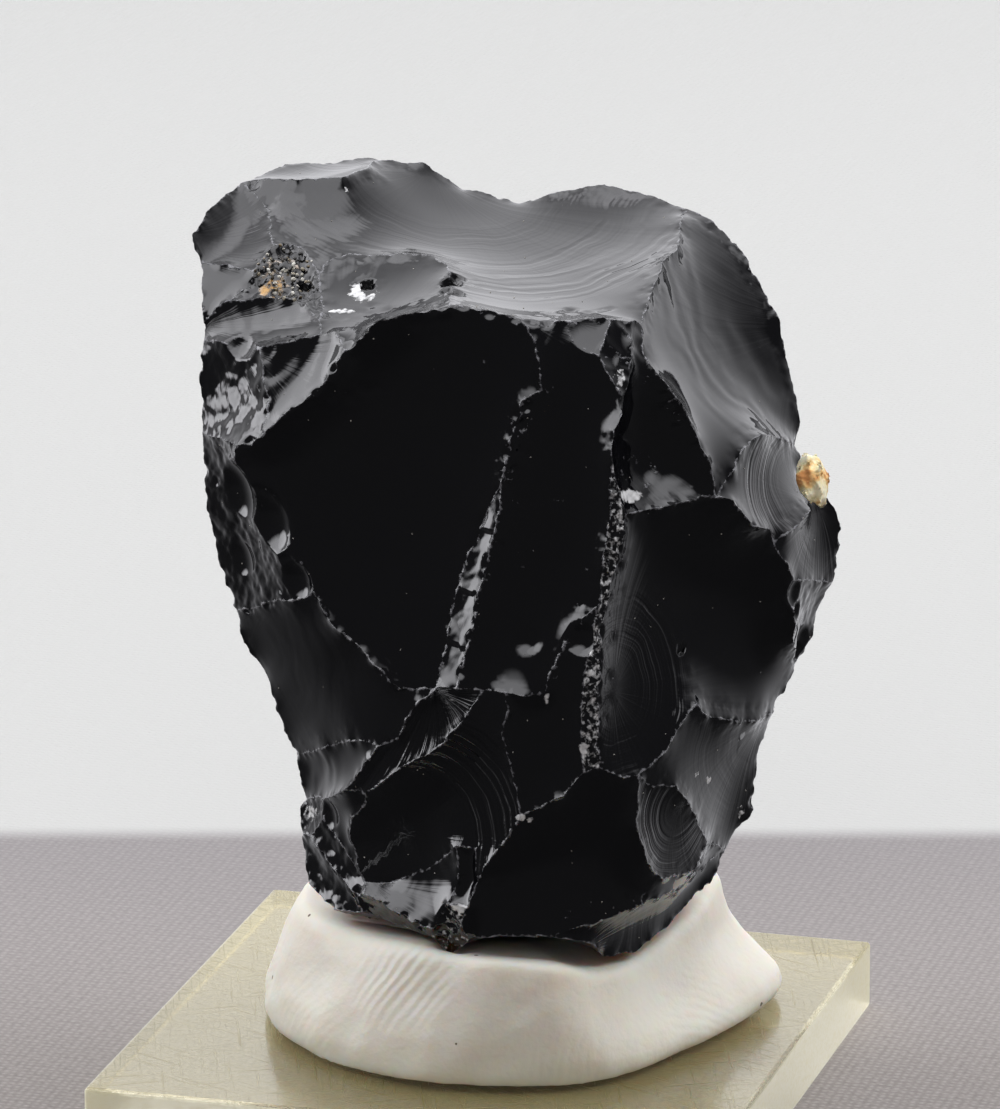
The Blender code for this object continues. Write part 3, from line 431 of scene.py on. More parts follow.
def all_chips():
    """Shells along every ridge that stands out, the second crops of flakes, the pits and the lone flakes."""
    sides = {}
    for path, _ in SCARS.values():
        corners = walk(path)
        for pair in pairs(corners, closed=True):
            sides.setdefault(tuple(sorted(pair)), []).append(middle_and_way(corner_points(corners)))
    battered = {}
    for path, count, widest in NIBBLED:
        battered.update({tuple(sorted(pair)): (count, widest) for pair in pairs(walk(path))})
    dice = np.random.default_rng(4)
    chips = []
    for pair, faces in sorted(sides.items()):
        (_, normal_a), (middle_b, normal_b) = faces
        start, end = corner_points(pair)
        count, widest = battered.get(pair, LIGHTLY_NIBBLED)
        stands_out = (middle_b - start) @ normal_a < -0.05
        for _ in range(dice.poisson(count * np.linalg.norm(end - start) / 10)):
            share, lean = dice.random(2)
            if stands_out:
                spot = wobble(start + (end - start) * share)
                chips.append(shell(dice, spot, normal_a * lean + normal_b * (1 - lean), widest))
    for name, (widest, crop) in FLAKED.items():
        loop = corner_points(walk(SCARS[name][0]))
        middle, normal = middle_and_way(loop)
        area = 0.5 * abs(np.cross(loop - middle, np.roll(loop, -1, axis=0) - middle) @ normal).sum()
        for _ in range(int(crop * area / widest**2)):
            corner = dice.integers(len(loop))
            share = np.sqrt(dice.random())
            along = dice.random()
            spot = middle + share * (loop[corner] * along + loop[corner - 1] * (1 - along) - middle)
            chips.append(shell(dice, spot, normal, widest, FLAKE_TILT))
    for x, height, radius in PITS:
        chips.append((*on_glass(x, height), radius, *unit(np.array((0.1, -0.6, 1)))))
    for x, height, width, bearing, elevation in FLAKES:
        way = mirrored(bearing, elevation)
        chips.append((*(on_glass(x, height) + way * 1.9 * width), 2 * width, *way))
    return np.array(chips)


CHIPS = all_chips()


def inside(points, loop):
    """Which of the points lie inside the closed loop."""
    found = np.zeros(len(points), bool)
    for (ax, ay), (bx, by) in zip(loop, np.roll(loop, -1, axis=0)):
        if ay != by:
            crossed = (ay > points[:, 1]) != (by > points[:, 1])
            found ^= crossed & (points[:, 0] < ax + (points[:, 1] - ay) * (bx - ax) / (by - ay))
    return found


def distance_to(rim, points):
    """Distance from each point to the nearest rim point, worked out for a few hundred points at a time."""
    parts = np.array_split(points, len(points) // 400 + 1)
    return np.concatenate([np.sqrt(((p[:, None] - rim[None]) ** 2).sum(axis=2).min(axis=1)) for p in parts])


def settle(joins, total, fixed, heights, load):
    """Heights of a skin over its fixed rim: each free point is the mean of its neighbours, plus its load."""
    a, b = joins.T
    degree = np.bincount(a, minlength=total) + np.bincount(b, minlength=total)
    free = np.arange(total) >= fixed

    def tension(h):
        return degree * h - np.bincount(a, h[b], total) - np.bincount(b, h[a], total)

    # solved by conjugate gradients
    h = np.where(free, 0.0, heights)
    left = np.where(free, load - tension(h), 0.0)
    step = left.copy()
    size = left @ left
    for _ in range(600):
        if size < 1e-12 * total:
            break
        pull = np.where(free, tension(step), 0.0)
        share = size / (step @ pull)
        h += share * step
        left -= share * pull
        size, last = left @ left, size
        step = left + size / last * step
    return h


def grid_points(rim, pits, coarse):
    """Points inside a flat rim and their spacings: fine near the rim and the pits, coarse in between."""
    low, high = rim.min(axis=0), rim.max(axis=0)
    if (high - low).min() < NARROW:
        coarse = FINE
    kept, spacings = [np.zeros((0, 2))], [np.zeros(0)]
    for spacing in sorted({FINE, coarse}):
        v = np.arange(low[1] + spacing / 2, high[1], spacing * 0.87)
        u = np.arange(low[0], high[0], spacing)
        grid = np.stack(np.meshgrid(u, v), axis=2)
        grid[1::2, :, 0] += spacing / 2
        grid = grid.reshape(-1, 2)
        grid = grid[inside(grid, rim)]
        if len(grid):
            gap = distance_to(rim, grid)
            overlap = (spacing - FINE) * 0.4
            hem = gap < RIDGE_BAND + overlap
            if len(pits):
                hem |= distance_to(pits, grid) < PIT_BAND + overlap
            band = gap > 0.6 * FINE
            if coarse > FINE:
                band &= hem if spacing == FINE else ~hem
            kept.append(grid[band])
            spacings.append(np.full(band.sum(), spacing))
    return np.concatenate(kept), np.concatenate(spacings)


CROWN = cad_box[1][2] / MM - 0.07  # the top of the specimen, less the dust that lies on it
FLANK = cad_box[1][0] / MM - 0.02  # how far it reaches to the right on its plate
RIGHTWARD = np.array((cos(TURN), -sin(TURN), 0))
FADE = 1.2  # how far ripples take to grow and to die out
CALM = 0.25  # how near the rim a scar is undisturbed
HACKLY_POCKET = (-11.0, 40.6)  # where the crushed grains are packed, on the drawing


def scar_skin(name):
    """Points in millimetres, triangles, and what the glass needs to know at each point of one scar."""
    path, dish = SCARS[name]
    corners = walk(path)
    rim = np.array([point for pair in pairs(corners, closed=True) for point in ridge_points(*pair)])
    middle, normal = middle_and_way(rim)
    across = unit(np.cross((0, 0, 1) if abs(normal[2]) < 0.9 else (1, 0, 0), normal))
    axes = np.array((across, np.cross(normal, across), normal))
    flat = (rim - middle) @ axes.T
    pits = np.array([axes @ (on_glass(x, height) - middle) for x, height, _ in PITS])
    pits = pits[abs(pits[:, 2]) < 1.5, :2]
    hidden = name.startswith(("back", "under"))
    coarse = COARSE * (1.5 if hidden else 0.55 if name in FLAKED else 1)
    inner, spacings = grid_points(flat[:, :2], pits, coarse)
    plan = [Vector(p) for p in np.concatenate((flat[:, :2], inner))]
    plan, _, faces, *_ = delaunay_2d_cdt(plan, [], [list(range(len(rim)))], 1, 1e-7)
    total, fixed = len(plan), len(rim)
    faces = np.array([tuple(f) for f in faces])
    joins = np.concatenate((faces[:, [0, 1]], faces[:, [1, 2]], faces[:, [2, 0]]))
    joins = np.unique(np.sort(joins, axis=1), axis=0)
    plan = np.array([tuple(p) for p in plan])
    heights = settle(joins, total, fixed, np.concatenate((flat[:, 2], np.zeros(total - fixed))), 0.0)
    gap = np.zeros(total)
    if total > fixed:
        gap[fixed:] = distance_to(flat[:, :2], plan[fixed:])
    if dish and total > fixed:
        # the load follows each point's share of the area, so fine and coarse spacing dish alike
        area = np.concatenate((np.full(fixed, FINE), spacings)) ** 2
        dent = settle(joins, total, fixed, np.zeros(total), area)
        heights -= dish * dent / max(dent.max(), 1e-9)
    points = np.column_stack((plan, heights)) @ axes + middle

    # ripples run round the point where the blow landed, and hackles fan out from it
    blow, nearest, furthest, spacing, ripple, hackle = BREAKS.get(name, (corners[0], 0, 1, 1, 0, 0.001))
    blow = upright(*(CORNERS[blow] if isinstance(blow, str) else blow))
    reach = points - blow
    radius = np.linalg.norm(reach, axis=1)
    ahead = unit(middle - blow - ((middle - blow) @ normal) * normal)
    bearing = np.arctan2(reach @ np.cross(normal, ahead), reach @ ahead)
    fade = np.clip((radius - nearest) / FADE, 0, 1) * np.clip((furthest - radius) / FADE, 0, 1)
    calm = np.clip(gap / CALM, 0, 1)
    broad = spacing > 3 * COARSE  # broad ripples are shaped in the mesh, fine ones in the material
    rough = ROUGH.get(name, 0)
    push = np.zeros(total)
    for i, p in enumerate(points):
        p = Vector(p)
        swell = noise.noise(p * 0.5)
        push[i] = 0.05 * noise.noise(p * 0.35)
        if broad:
            turns = radius[i] / spacing + 0.7 * swell + 0.2 * noise.noise(p * 1.3)
            push[i] += ripple * fade[i] * sin(2 * pi * turns)
        if rough:
            push[i] += rough * (noise.noise(p * 1.6) + 0.6 * noise.noise(p * 3.7))
        if name in STEPPED:
            high, wide, axis = STEPPED[name]
            push[i] += high * ((p[axis] + 0.3 * swell) / wide % 1 - 0.5)
    push *= calm

    # marks, and the pocket of crushed grains
    across_drawn, height_drawn = drawn(points)

    def away(x, height):
        return np.hypot(across_drawn - x, height_drawn - height)

    white = np.full(total, CRUSHED.get(name, 0.0))
    packed = np.zeros(total)
    if name == "hackly":
        packed = np.clip(1.6 - away(*HACKLY_POCKET) / 1.4, 0, 1)
        white *= packed
    ochre = 0.5 * packed
    for x, height, half_x, half_h, whiteness, yellow, depth in MARKS if normal[1] < 0.5 else ():
        far = np.hypot((across_drawn - x) / half_x, (height_drawn - height) / half_h)
        near = np.clip(1.35 - far, 0, 1)
        white = np.maximum(white, near * whiteness)
        ochre = np.maximum(ochre, near * yellow)
        push -= depth * np.clip(1 - far**2, 0, 1) * calm
    points = points + np.outer(push, normal)
    for x, height, size in PITS:
        hollow = away(x, height) < 0.9 * size
        white[hollow], ochre[hollow] = 0, 0

    # ridges and chip rims are painted pale: partly the real crush of a broken edge, partly a painted
    # highlight
    rim_glint_and_crush = np.exp(-gap / 0.16)
    dice = np.random.default_rng(7)
    flaws = []
    for start, end, spread, count, widest in FLAWS.get(name, ()):
        for share in dice.random(count):
            place = np.array(start) * (1 - share) + np.array(end) * share + spread * dice.standard_normal(2)
            flaws.append(shell(dice, points[away(*place).argmin()], normal, widest, FLAKE_TILT))
    # ridge chips cut both scars of a ridge alike, and flaws leave the rim alone, so that the scars still meet
    margin = CHIPS[:, 3:4] + 0.2
    low, high = points.min(axis=0) - margin, points.max(axis=0) + margin
    reached = CHIPS[((CHIPS[:, :3] > low) & (CHIPS[:, :3] < high)).all(axis=1)]
    glint = 0.5 if name in FLAKED else 0.9
    struck = [(0, chip) for chip in reached] + [(fixed, flaw) for flaw in flaws]
    for first, (*centre, size, way_x, way_y, way_z) in struck:
        near = first + np.flatnonzero(np.abs(points[first:] - centre).max(axis=1) < size + 0.2)
        way = np.array((way_x, way_y, way_z))
        from_centre = points[near] - centre
        far = np.linalg.norm(from_centre, axis=1)
        # inside a chip the painted rim highlight is dimmed, and a painted glint runs round the chip's rim
        dimmed_rim_glint = rim_glint_and_crush[near] * np.where(far < size - 0.1, 0.6, 1)
        rim_glint_and_crush[near] = np.maximum(dimmed_rim_glint, glint * np.exp(-np.abs(far - size) / 0.06))
        hit = far < size
        if hit.any():
            along = from_centre[hit] @ way
            points[near[hit]] -= np.outer(along + np.sqrt(along**2 - far[hit] ** 2 + size**2), way)
    points[:, 2] = np.minimum(points[:, 2], CROWN)
    points -= np.outer(np.maximum(points @ RIGHTWARD - FLANK, 0), RIGHTWARD)
    return points, faces, {
        "ripple": radius / spacing,
        "ripple_height": (0.004 if broad else ripple) * fade * calm,
        "fan": bearing,
        "fan_height": np.full(total, hackle) * calm,
        "rim": rim_glint_and_crush,
        "bruise": white,
        "ochre": ochre,
        "grainy": packed,
        "dusty": (points @ RIGHTWARD < FLANK - 0.13) * float(name != "hackly"),
    }


def mesh_values(mesh, values):
    """Keeps a value for each point of a mesh."""
    for key, column in values.items():
        mesh.attributes.new(key, "FLOAT", "POINT").data.foreach_set("value", column.astype(np.float32))


def add_object(name, mesh):
    obj = bpy.data.objects.new(name, mesh)
    bpy.context.scene.collection.objects.link(obj)
    return obj


def shade_smooth(mesh):
    mesh.polygons.foreach_set("use_smooth", [True] * len(mesh.polygons))
    mesh.update()


skins = [scar_skin(name) for name in SCARS]
starts = np.cumsum([0] + [len(points) for points, _, _ in skins])
x, y, z = np.concatenate([points for points, _, _ in skins]).T
placed = MM * np.column_stack((x * cos(TURN) - y * sin(TURN), x * sin(TURN) + y * cos(TURN), z))
faces = np.concatenate([faces + start for (_, faces, _), start in zip(skins, starts)])
mesh = bpy.data.meshes.new("glass_chunk_surface")
mesh.from_pydata(placed.tolist(), [], faces.tolist())
mesh_values(mesh, {key: np.concatenate([values[key] for _, _, values in skins]) for key in skins[0][2]})
shade_smooth(mesh)
chunk = add_object("glass_chunk_surface", mesh)


def linear(hex_colour):
    """An sRGB hex colour as the linear colour that a shader takes."""
    parts = [int(hex_colour[i : i + 2], 16) / 255 for i in (1, 3, 5)]
    return (*[c / 12.92 if c <= 0.04045 else ((c + 0.055) / 1.055) ** 2.4 for c in parts], 1)


def feed(node, sockets):
    """Gives each socket its value or its link. A hex colour is turned to linear on the way."""
    for socket, value in sockets:
        if isinstance(value, bpy.types.NodeSocket):
            node.id_data.links.new(value, socket)
        else:
            socket.default_value = linear(value) if str(value).startswith("#") else value


def set_looks(node, **looks):
    """Gives a node's inputs, by name, their values and links."""
    feed(node, [(node.inputs[key.replace("_", " ")], value) for key, value in looks.items()])


def add_node(tree, kind, *values, output=None, **settings):
    """Adds a node and gives back one output. Values, colours or links fill its inputs in order.

    Settings in small letters are the node's own, and those with a capital are inputs by name.
    """
    node = tree.nodes.new(kind if "Node" in kind else "ShaderNode" + kind)
    for key, value in settings.items():
        if key[0].islower():
            setattr(node, key, value)
    feed(node, zip([socket for socket in node.inputs if socket.enabled], values))
    set_looks(node, **{key: value for key, value in settings.items() if key[0].isupper()})
    return node.outputs[output] if output else next(socket for socket in node.outputs if socket.enabled)


def new_material(name, **looks):
    """A material, its shader, and what adds nodes to it."""
    material = bpy.data.materials.new(name)
    material.use_nodes = True
    shader = material.node_tree.nodes["Principled BSDF"]
    set_looks(shader, **looks)
    return material, shader, partial(add_node, material.node_tree)


TIMES = dict(operation="MULTIPLY")
PLUS = dict(operation="ADD")
TIMES_PLUS = dict(operation="MULTIPLY_ADD")  # the first times the second, plus the third
MIXED = dict(data_type="RGBA")  # colours: how much of the second, then the first and the second

# Slag glass: cooled furnace slag, broken. Near-black in the mass, mirror-smooth on clean scars, with faint
# ripples. Ridges and chip rims are painted pale grey: partly the real whitish crush of a broken edge, partly
# a painted highlight where they catch the light. Bruises are crazed white where it was crushed.
slag, shader, add = new_material("broken slag glass", IOR=1.55)
place = add("TexCoord", output="Object")
grain = add("TexNoise", place, Scale=1 / (0.25 * MM), Detail=3)
drift = add("TexNoise", place, Scale=1 / (3 * MM), Detail=2)
known = ("ripple", "ripple_height", "fan", "fan_height", "rim", "bruise", "ochre")
here = {key: add("Attribute", attribute_name=key, output="Fac") for key in known}
phase = add("Math", drift, 2, here["ripple"], **TIMES_PLUS)
swing = add("Math", add("Math", phase, 2 * pi, **TIMES), operation="SINE")
streaks = add("TexNoise", phase, noise_dimensions="1D", Scale=1, Detail=2, Roughness=0.5)
wave = add("Math", swing, 0.3, add("Math", streaks, 3, -1.5, **TIMES_PLUS), **TIMES_PLUS)
wave = add("Math", add("Math", wave, here["ripple_height"], **TIMES), drift, **TIMES)
fans = add("TexNoise", here["fan"], noise_dimensions="1D", Scale=15, Detail=2)
fans = add("Math", add("Math", fans, 3, -1.5, **TIMES_PLUS), here["fan_height"], **TIMES)
crushed = add("MapRange", add("Math", here["bruise"], grain, **PLUS), 0.95, 1.15)
# painted pale grey along ridges and chip rims: partly the real crush, partly a painted highlight
glint_and_crush = add("MapRange", add("Math", here["rim"], 0.62, grain, **TIMES_PLUS), 1, 1.25)
grit = add("Math", add("Math", crushed, glint_and_crush, operation="MAXIMUM"), grain, **TIMES)
height = add("Math", wave, 1.8, add("Math", grit, 0.03, fans, **TIMES_PLUS), **TIMES_PLUS)
stained = add("MapRange", add("Math", here["ochre"], drift, **TIMES), 0, 0.5)
earth = add("Mix", stained, add("Mix", grain, "#6E6E72", "#F0F0F2", **MIXED), "#A8824A", **MIXED)
glass_with_glints = add("Mix", glint_and_crush, "#07070A", "#78787E", **MIXED)
set_looks(
    shader,
    Base_Color=add("Mix", crushed, glass_with_glints, earth, **MIXED),
    Roughness=add("Math", crushed, 0.5, 0.05, **TIMES_PLUS),
    Normal=add("Bump", Height=add("Math", height, MM, **TIMES), Distance=1),
)
chunk.data.materials.append(slag)
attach(chunk, "root")
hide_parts("glass_chunk")


def run_modifiers(obj):
    """Turns an object's modifiers into its mesh."""
    made = bpy.data.meshes.new_from_object(obj.evaluated_get(bpy.context.evaluated_depsgraph_get()))
    obj.modifiers.clear()
    obj.data = made


def scatter(name, target, where, density, size, least, material):
    """Angular grains strewn over a surface where one of its values is high, as a mesh of their own."""
    group = bpy.data.node_groups.new(name, "GeometryNodeTree")
    named = {}
    for label, way, kind in (
        ("Surface", "INPUT", "Geometry"), ("Density", "INPUT", "Float"), ("Grain size", "INPUT", "Float"),
        ("Grains", "OUTPUT", "Geometry"),
    ):
        socket = group.interface.new_socket(label, in_out=way, socket_type="NodeSocket" + kind)
        named[label] = socket.identifier
    given = group.nodes.new("NodeGroupInput").outputs
    add = partial(add_node, group)
    chosen = add("GeometryNodeInputNamedAttribute", data_type="FLOAT", Name=where)
    amount = add("Math", chosen, given["Density"], **TIMES)
    spread = add("GeometryNodeDistributePointsOnFaces", Mesh=given["Surface"], Density=amount, Seed=3)
    grain = add("GeometryNodeMeshIcoSphere", Radius=1, Subdivisions=1)
    any_way = dict(data_type="FLOAT_VECTOR")
    turn = add("FunctionNodeRandomValue", (0, 0, 0), (6.3, 6.3, 6.3), Seed=1, **any_way)
    shape = add("FunctionNodeRandomValue", (least,) * 3, (1, 1, 1), Seed=2, **any_way)
    scale = add("VectorMath", shape, operation="SCALE", Scale=given["Grain size"])
    strewn = add("GeometryNodeInstanceOnPoints", Points=spread, Instance=grain, Rotation=turn, Scale=scale)
    shade = add("FunctionNodeRandomValue", Seed=5, data_type="FLOAT")
    on_grains = dict(data_type="FLOAT", domain="INSTANCE")
    stored = add("GeometryNodeStoreNamedAttribute", Geometry=strewn, Name="shade", Value=shade, **on_grains)
    real = add("GeometryNodeRealizeInstances", Geometry=stored)
    done = add("GeometryNodeSetMaterial", Geometry=real, Material=material)
    group.links.new(done, group.nodes.new("NodeGroupOutput").inputs[0])
    strew = add_object(name, target.data.copy())
    modifier = strew.modifiers.new("strew", "NODES")
    modifier.node_group = group
    modifier[named["Density"]] = density / MM**2
    modifier[named["Grain size"]] = size * MM
    run_modifiers(strew)
    return strew


def colour_stops(ramp, stops):
    """Gives a ramp its stops. The darkest comes first."""
    elements = ramp.node.color_ramp.elements
    elements.remove(elements[-1])
    for i, (at, colour) in enumerate(stops):
        stop = elements.new(at) if i else elements[0]
        stop.position, stop.color = at, linear(colour)


# Crushed grains: glass powder with iron stain, packed into the one hackly break. Matt, black through ochre
# to white.
powder, shader, add = new_material("crushed glass grains", Roughness=0.5)
tone = add("ValToRGB", add("Attribute", attribute_name="shade", output="Fac"))
colour_stops(tone, ((0.4, "#15130F"), (0.55, "#6F6045"), (0.8, "#8F8B80"), (1, "#D8D6D0")))
set_looks(shader, Base_Color=tone)
grains = scatter("crushed_grains", chunk, "grainy", 9, 0.15, 0.3, powder)
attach(grains, "root")

# Dust: house dust that settled on the polished scars. Matt and pale, so it shows as pinpricks on black glass.
lint, shader, add = new_material("settled dust", Roughness=0.9)
tone = add("TexNoise", add("TexCoord", output="Object"), Scale=1 / (2 * MM))
set_looks(shader, Base_Color=add("Mix", tone, "#6E6860", "#C9C6C0", **MIXED))
dust = scatter("dust_specks", chunk, "dusty", 0.06, 0.05, 0.35, lint)
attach(dust, "root")

# -----------------------------------------------------------------------------------------------------------
# The ochre crust: a crumb of the earthy bed that the slag lay in, cream with orange iron spots, still grown
# into a notch of the right-hand edge.
# -----------------------------------------------------------------------------------------------------------
def bmesh_object(made, name):
    mesh = bpy.data.meshes.new(name)
    made.to_mesh(mesh)
    made.free()
    return add_object(name, mesh)


def even_skin(node, name, voxel, rounds):
    """A CAD node's shape, merged, with an even skin that is softened round after round."""
    merged = bmesh.new()
    merged.from_mesh(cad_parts[node].data)
    bmesh.ops.remove_doubles(merged, verts=merged.verts, dist=0.001 * MM)
    obj = bmesh_object(merged, name)
    remesh = obj.modifiers.new("even skin", "REMESH")
    remesh.mode = "VOXEL"
    remesh.voxel_size = voxel * MM
    soften = obj.modifiers.new("soften", "SMOOTH")
    soften.iterations = rounds
    soften.factor = 0.5
    run_modifiers(obj)
    return obj


crumb = even_skin("ochre_crust", "ochre_crust_surface", 0.05, 10)
for vert in crumb.data.vertices:
    p = vert.co / MM
    vert.co += vert.normal * MM * (0.06 * noise.noise(p * 2.2) + 0.03 * noise.noise(p * 6) - 0.06)
shade_smooth(crumb.data)

# Earth crust: dried iron-stained clay. Matt, cream with orange spots, crumbly.
earthy, shader, add = new_material(
    "iron-stained clay crust",
    Roughness=0.85,
    Specular_IOR_Level=0.2,
    Subsurface_Weight=0.4,
    Subsurface_Radius=(0.4 * MM, 0.3 * MM, 0.2 * MM),
)
place = add("TexCoord", output="Object")
tone = add("ValToRGB", add("TexNoise", place, Scale=1 / (1.3 * MM), Detail=3, Roughness=0.5))
colour_stops(tone, ((0.34, "#C58A55"), (0.41, "#DDB980"), (0.47, "#E9DDB4"), (0.62, "#F3EDD6")))
grit = add("TexNoise", place, Scale=1 / (0.12 * MM), Detail=3)
set_looks(shader, Base_Color=tone, Normal=add("Bump", Height=grit, Distance=0.03 * MM, Strength=0.35))
crumb.data.materials.clear()
crumb.data.materials.append(earthy)
crumb.visible_glossy = False
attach(crumb, "root")
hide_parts("ochre_crust")

# -----------------------------------------------------------------------------------------------------------
# The putty: a lump of cream mineral tack, rolled between the fingers and pressed round the foot of the glass
# with the fingertips, which left their ridges and a few specks of dirt in it.
# -----------------------------------------------------------------------------------------------------------
tack = even_skin("mounting_putty", "mounting_putty_surface", 0.2, 6)
shade_smooth(tack.data)

RIDGE_PITCH = 0.49  # of a fingerprint, in millimetres
RIDGE_HEIGHT = 0.02
# Presses of a fingertip: centre (across, depth, height), turn and bend of the ridges, reach, and how deep.
PRESSES = [
    ((-4.9, -9.3, 8.6), 1, 0.03, 2.8, 1.6), ((-9, -6, 5.2), 0.9, 0.05, 2.8, 0.35),
    ((10.3, -5, 4.8), -0.5, 0.05, 2.8, 0.6), ((3, -12.3, 4.4), 1.5, 0.06, 2.6, 0.35),
    ((-0.5, -12.6, 7), 1.1, 0.03, 2, 0.3), ((-11, 1, 6), 0.7, 0.1, 3, 0.6),
    ((12.5, 4.5, 6), 2.2, 0.1, 3.5, 0.6), ((4, 10, 6), 0.4, 0.1, 3.5, 0.8),
    ((-6, 8.5, 6), 2.4, -0.1, 3.5, 0.8),
]
rows = np.empty(len(tack.data.vertices) * 3, np.float32)
tack.data.vertices.foreach_get("co", rows)
x, y, z = rows.reshape(-1, 3).astype(float).T / MM
unturned = np.column_stack((x * cos(TURN) + y * sin(TURN), -x * sin(TURN) + y * cos(TURN), z))
prints, presence = np.zeros(len(x)), np.zeros(len(x))
for (x, y, z), turn, bend, reach, deep in PRESSES:
    away = unturned - (x * DRAWN_SIZE + SHIFT_X, y, z)
    u, v = away @ unit(np.array((-y, x, 0.0))), away[:, 2]
    along, across_ridges = u * cos(turn) + v * sin(turn), -u * sin(turn) + v * cos(turn)
    strength = deep * np.clip(1.2 - np.linalg.norm(away, axis=1) / reach, 0, 1)
    prints = np.where(strength > presence, (across_ridges + bend * along**2) / RIDGE_PITCH, prints)
    presence = np.maximum(presence, strength)
mesh_values(tack.data, {"print": prints, "print_height": presence})

# Mineral tack: an oil-bound chalk putty. Cream, waxy-matt and slightly translucent, with specks of dirt.
waxy, shader, add = new_material(
    "oil-bound chalk putty",
    Roughness=0.55,
    Subsurface_Weight=0.7,
    Subsurface_Radius=(2.4 * MM, 1.2 * MM, 0.6 * MM),
    Subsurface_Scale=1,
)
place = add("TexCoord", output="Object")
mottle = add("TexNoise", place, Scale=1 / (4 * MM), Detail=3)
speck = add("Math", add("TexVoronoi", place, Scale=1 / (2.6 * MM)), 0.045, operation="LESS_THAN")
tint = add("Mix", speck, add("Mix", mottle, "#E4E1DA", "#DAD4C8", **MIXED), "#5A4A3A", **MIXED)
here = {key: add("Attribute", attribute_name=key, output="Fac") for key in ("print", "print_height")}
warp = add("TexNoise", place, Scale=1 / (3 * MM), Detail=1)
turns = add("Math", add("Math", warp, 1.5, here["print"], **TIMES_PLUS), 2 * pi, **TIMES)
ridges = add("Math", add("Math", turns, operation="SINE"), here["print_height"], **TIMES)
pores = add("TexNoise", place, Scale=1 / (0.35 * MM), Detail=3)
relief = add("Math", ridges, RIDGE_HEIGHT * MM, add("Math", pores, 0.05 * MM, **TIMES), **TIMES_PLUS)
set_looks(shader, Base_Color=tint, Normal=add("Bump", Height=relief, Distance=1, Strength=0.7))
tack.data.materials.clear()
tack.data.materials.append(waxy)
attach(tack, "root")
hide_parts("mounting_putty")

# -----------------------------------------------------------------------------------------------------------
# The acrylic base: a square of clear cast acrylic, sawn and polished, a little yellow with age, with rubbed
# edges.
# -----------------------------------------------------------------------------------------------------------
low, high = (Vector(corner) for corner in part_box("acrylic_base"))
slab = bmesh.new()
bmesh.ops.create_cube(slab, size=1)
bmesh.ops.scale(slab, vec=high - low, verts=slab.verts)
bmesh.ops.translate(slab, vec=(low + high) / 2, verts=slab.verts)
bmesh.ops.bevel(slab, geom=list(slab.edges), offset=0.22 * MM, segments=3, affect="EDGES", profile=0.5)
bmesh.ops.recalc_face_normals(slab, faces=slab.faces)
slab = bmesh_object(slab, "acrylic_base_slab")

# Cast acrylic: clear with a yellow cast, hazed by fine scratches on its face, sawn and rubbed matt at its
# edges.
plastic, shader, add = new_material("clear cast acrylic", IOR=1.49)
place = add("TexCoord", output="Object")
saw = add("TexNoise", add("Mapping", place, Scale=(1, 1, 0.08)), Scale=1 / (0.3 * MM), Detail=2)
scratches = 0
for turn in (0.5, 1.9, 2.7):
    rubbed = add("Mapping", place, vector_type="TEXTURE", Rotation=(0, 0, turn), Scale=(25, 1, 1))
    lines = add("TexNoise", rubbed, Scale=1 / (0.22 * MM), Detail=3, Roughness=0.6)
    scratches = add("Math", add("MapRange", lines, 0.53, 0.53 + 1 / 6), scratches, operation="MAXIMUM")
facing_up = add("SeparateXYZ", add("NewGeometry", output="Normal"), output="Z")
edge_only = add("Math", 1, add("Math", facing_up, operation="ABSOLUTE"), operation="SUBTRACT", use_clamp=True)
marks = add("Math", scratches, -0.12, add("Math", saw, edge_only, **TIMES), **TIMES_PLUS)
face = add("Mix", scratches, "#D6C98E", "#8F8250", **MIXED)
haze = add("Math", scratches, 0.25, **TIMES)
blurred = add("Math", edge_only, 0.25, add("Math", haze, 0.1, **PLUS), **TIMES_PLUS)
milky = add("Math", edge_only, 0.35, haze, **TIMES_PLUS)
set_looks(
    shader,
    Base_Color=add("Mix", edge_only, face, "#EDE6C4", **MIXED),
    Roughness=blurred,
    Transmission_Weight=add("Math", 0.86, milky, operation="SUBTRACT"),
    Normal=add("Bump", Height=marks, Distance=0.02 * MM, Strength=0.6),
)
slab.data.materials.append(plastic)
slab.visible_shadow = slab.visible_glossy = False  # clear acrylic lets the light through to the cloth
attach(slab, "root")
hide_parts("acrylic_base")

# -----------------------------------------------------------------------------------------------------------
# The studio: a plain pale cloth floor, a pale surround that is dark on the near side, soft boxes, and the
# camera, which looks down on the specimen as steeply as the drawing of the scars leans.
# -----------------------------------------------------------------------------------------------------------
LENS = 300
SENSOR = 36
CAMERA_AWAY = 463.6  # from the middle of the specimen, in millimetres
AIM_ACROSS = 0.685
HORIZON = 38  # how far back the cloth reaches before it fades into the wall, in millimetres

across = Vector((cos(TURN), sin(TURN), 0))
back = Vector((sin(TURN) * cos(LEAN), -cos(TURN) * cos(LEAN), sin(LEAN)))
up = back.cross(across)
camera_data = bpy.data.cameras.new("camera")
camera_data.lens = LENS
camera_data.sensor_width = SENSOR
camera_data.clip_start = 0.01
camera = add_object("camera", camera_data)
turned = Matrix((across, up, back)).transposed().to_4x4()
turned.translation = (AIM_ACROSS * across + DRAWN_MIDDLE * up) * MM + back * CAMERA_AWAY * MM
camera.matrix_world = turned
bpy.context.scene.camera = camera

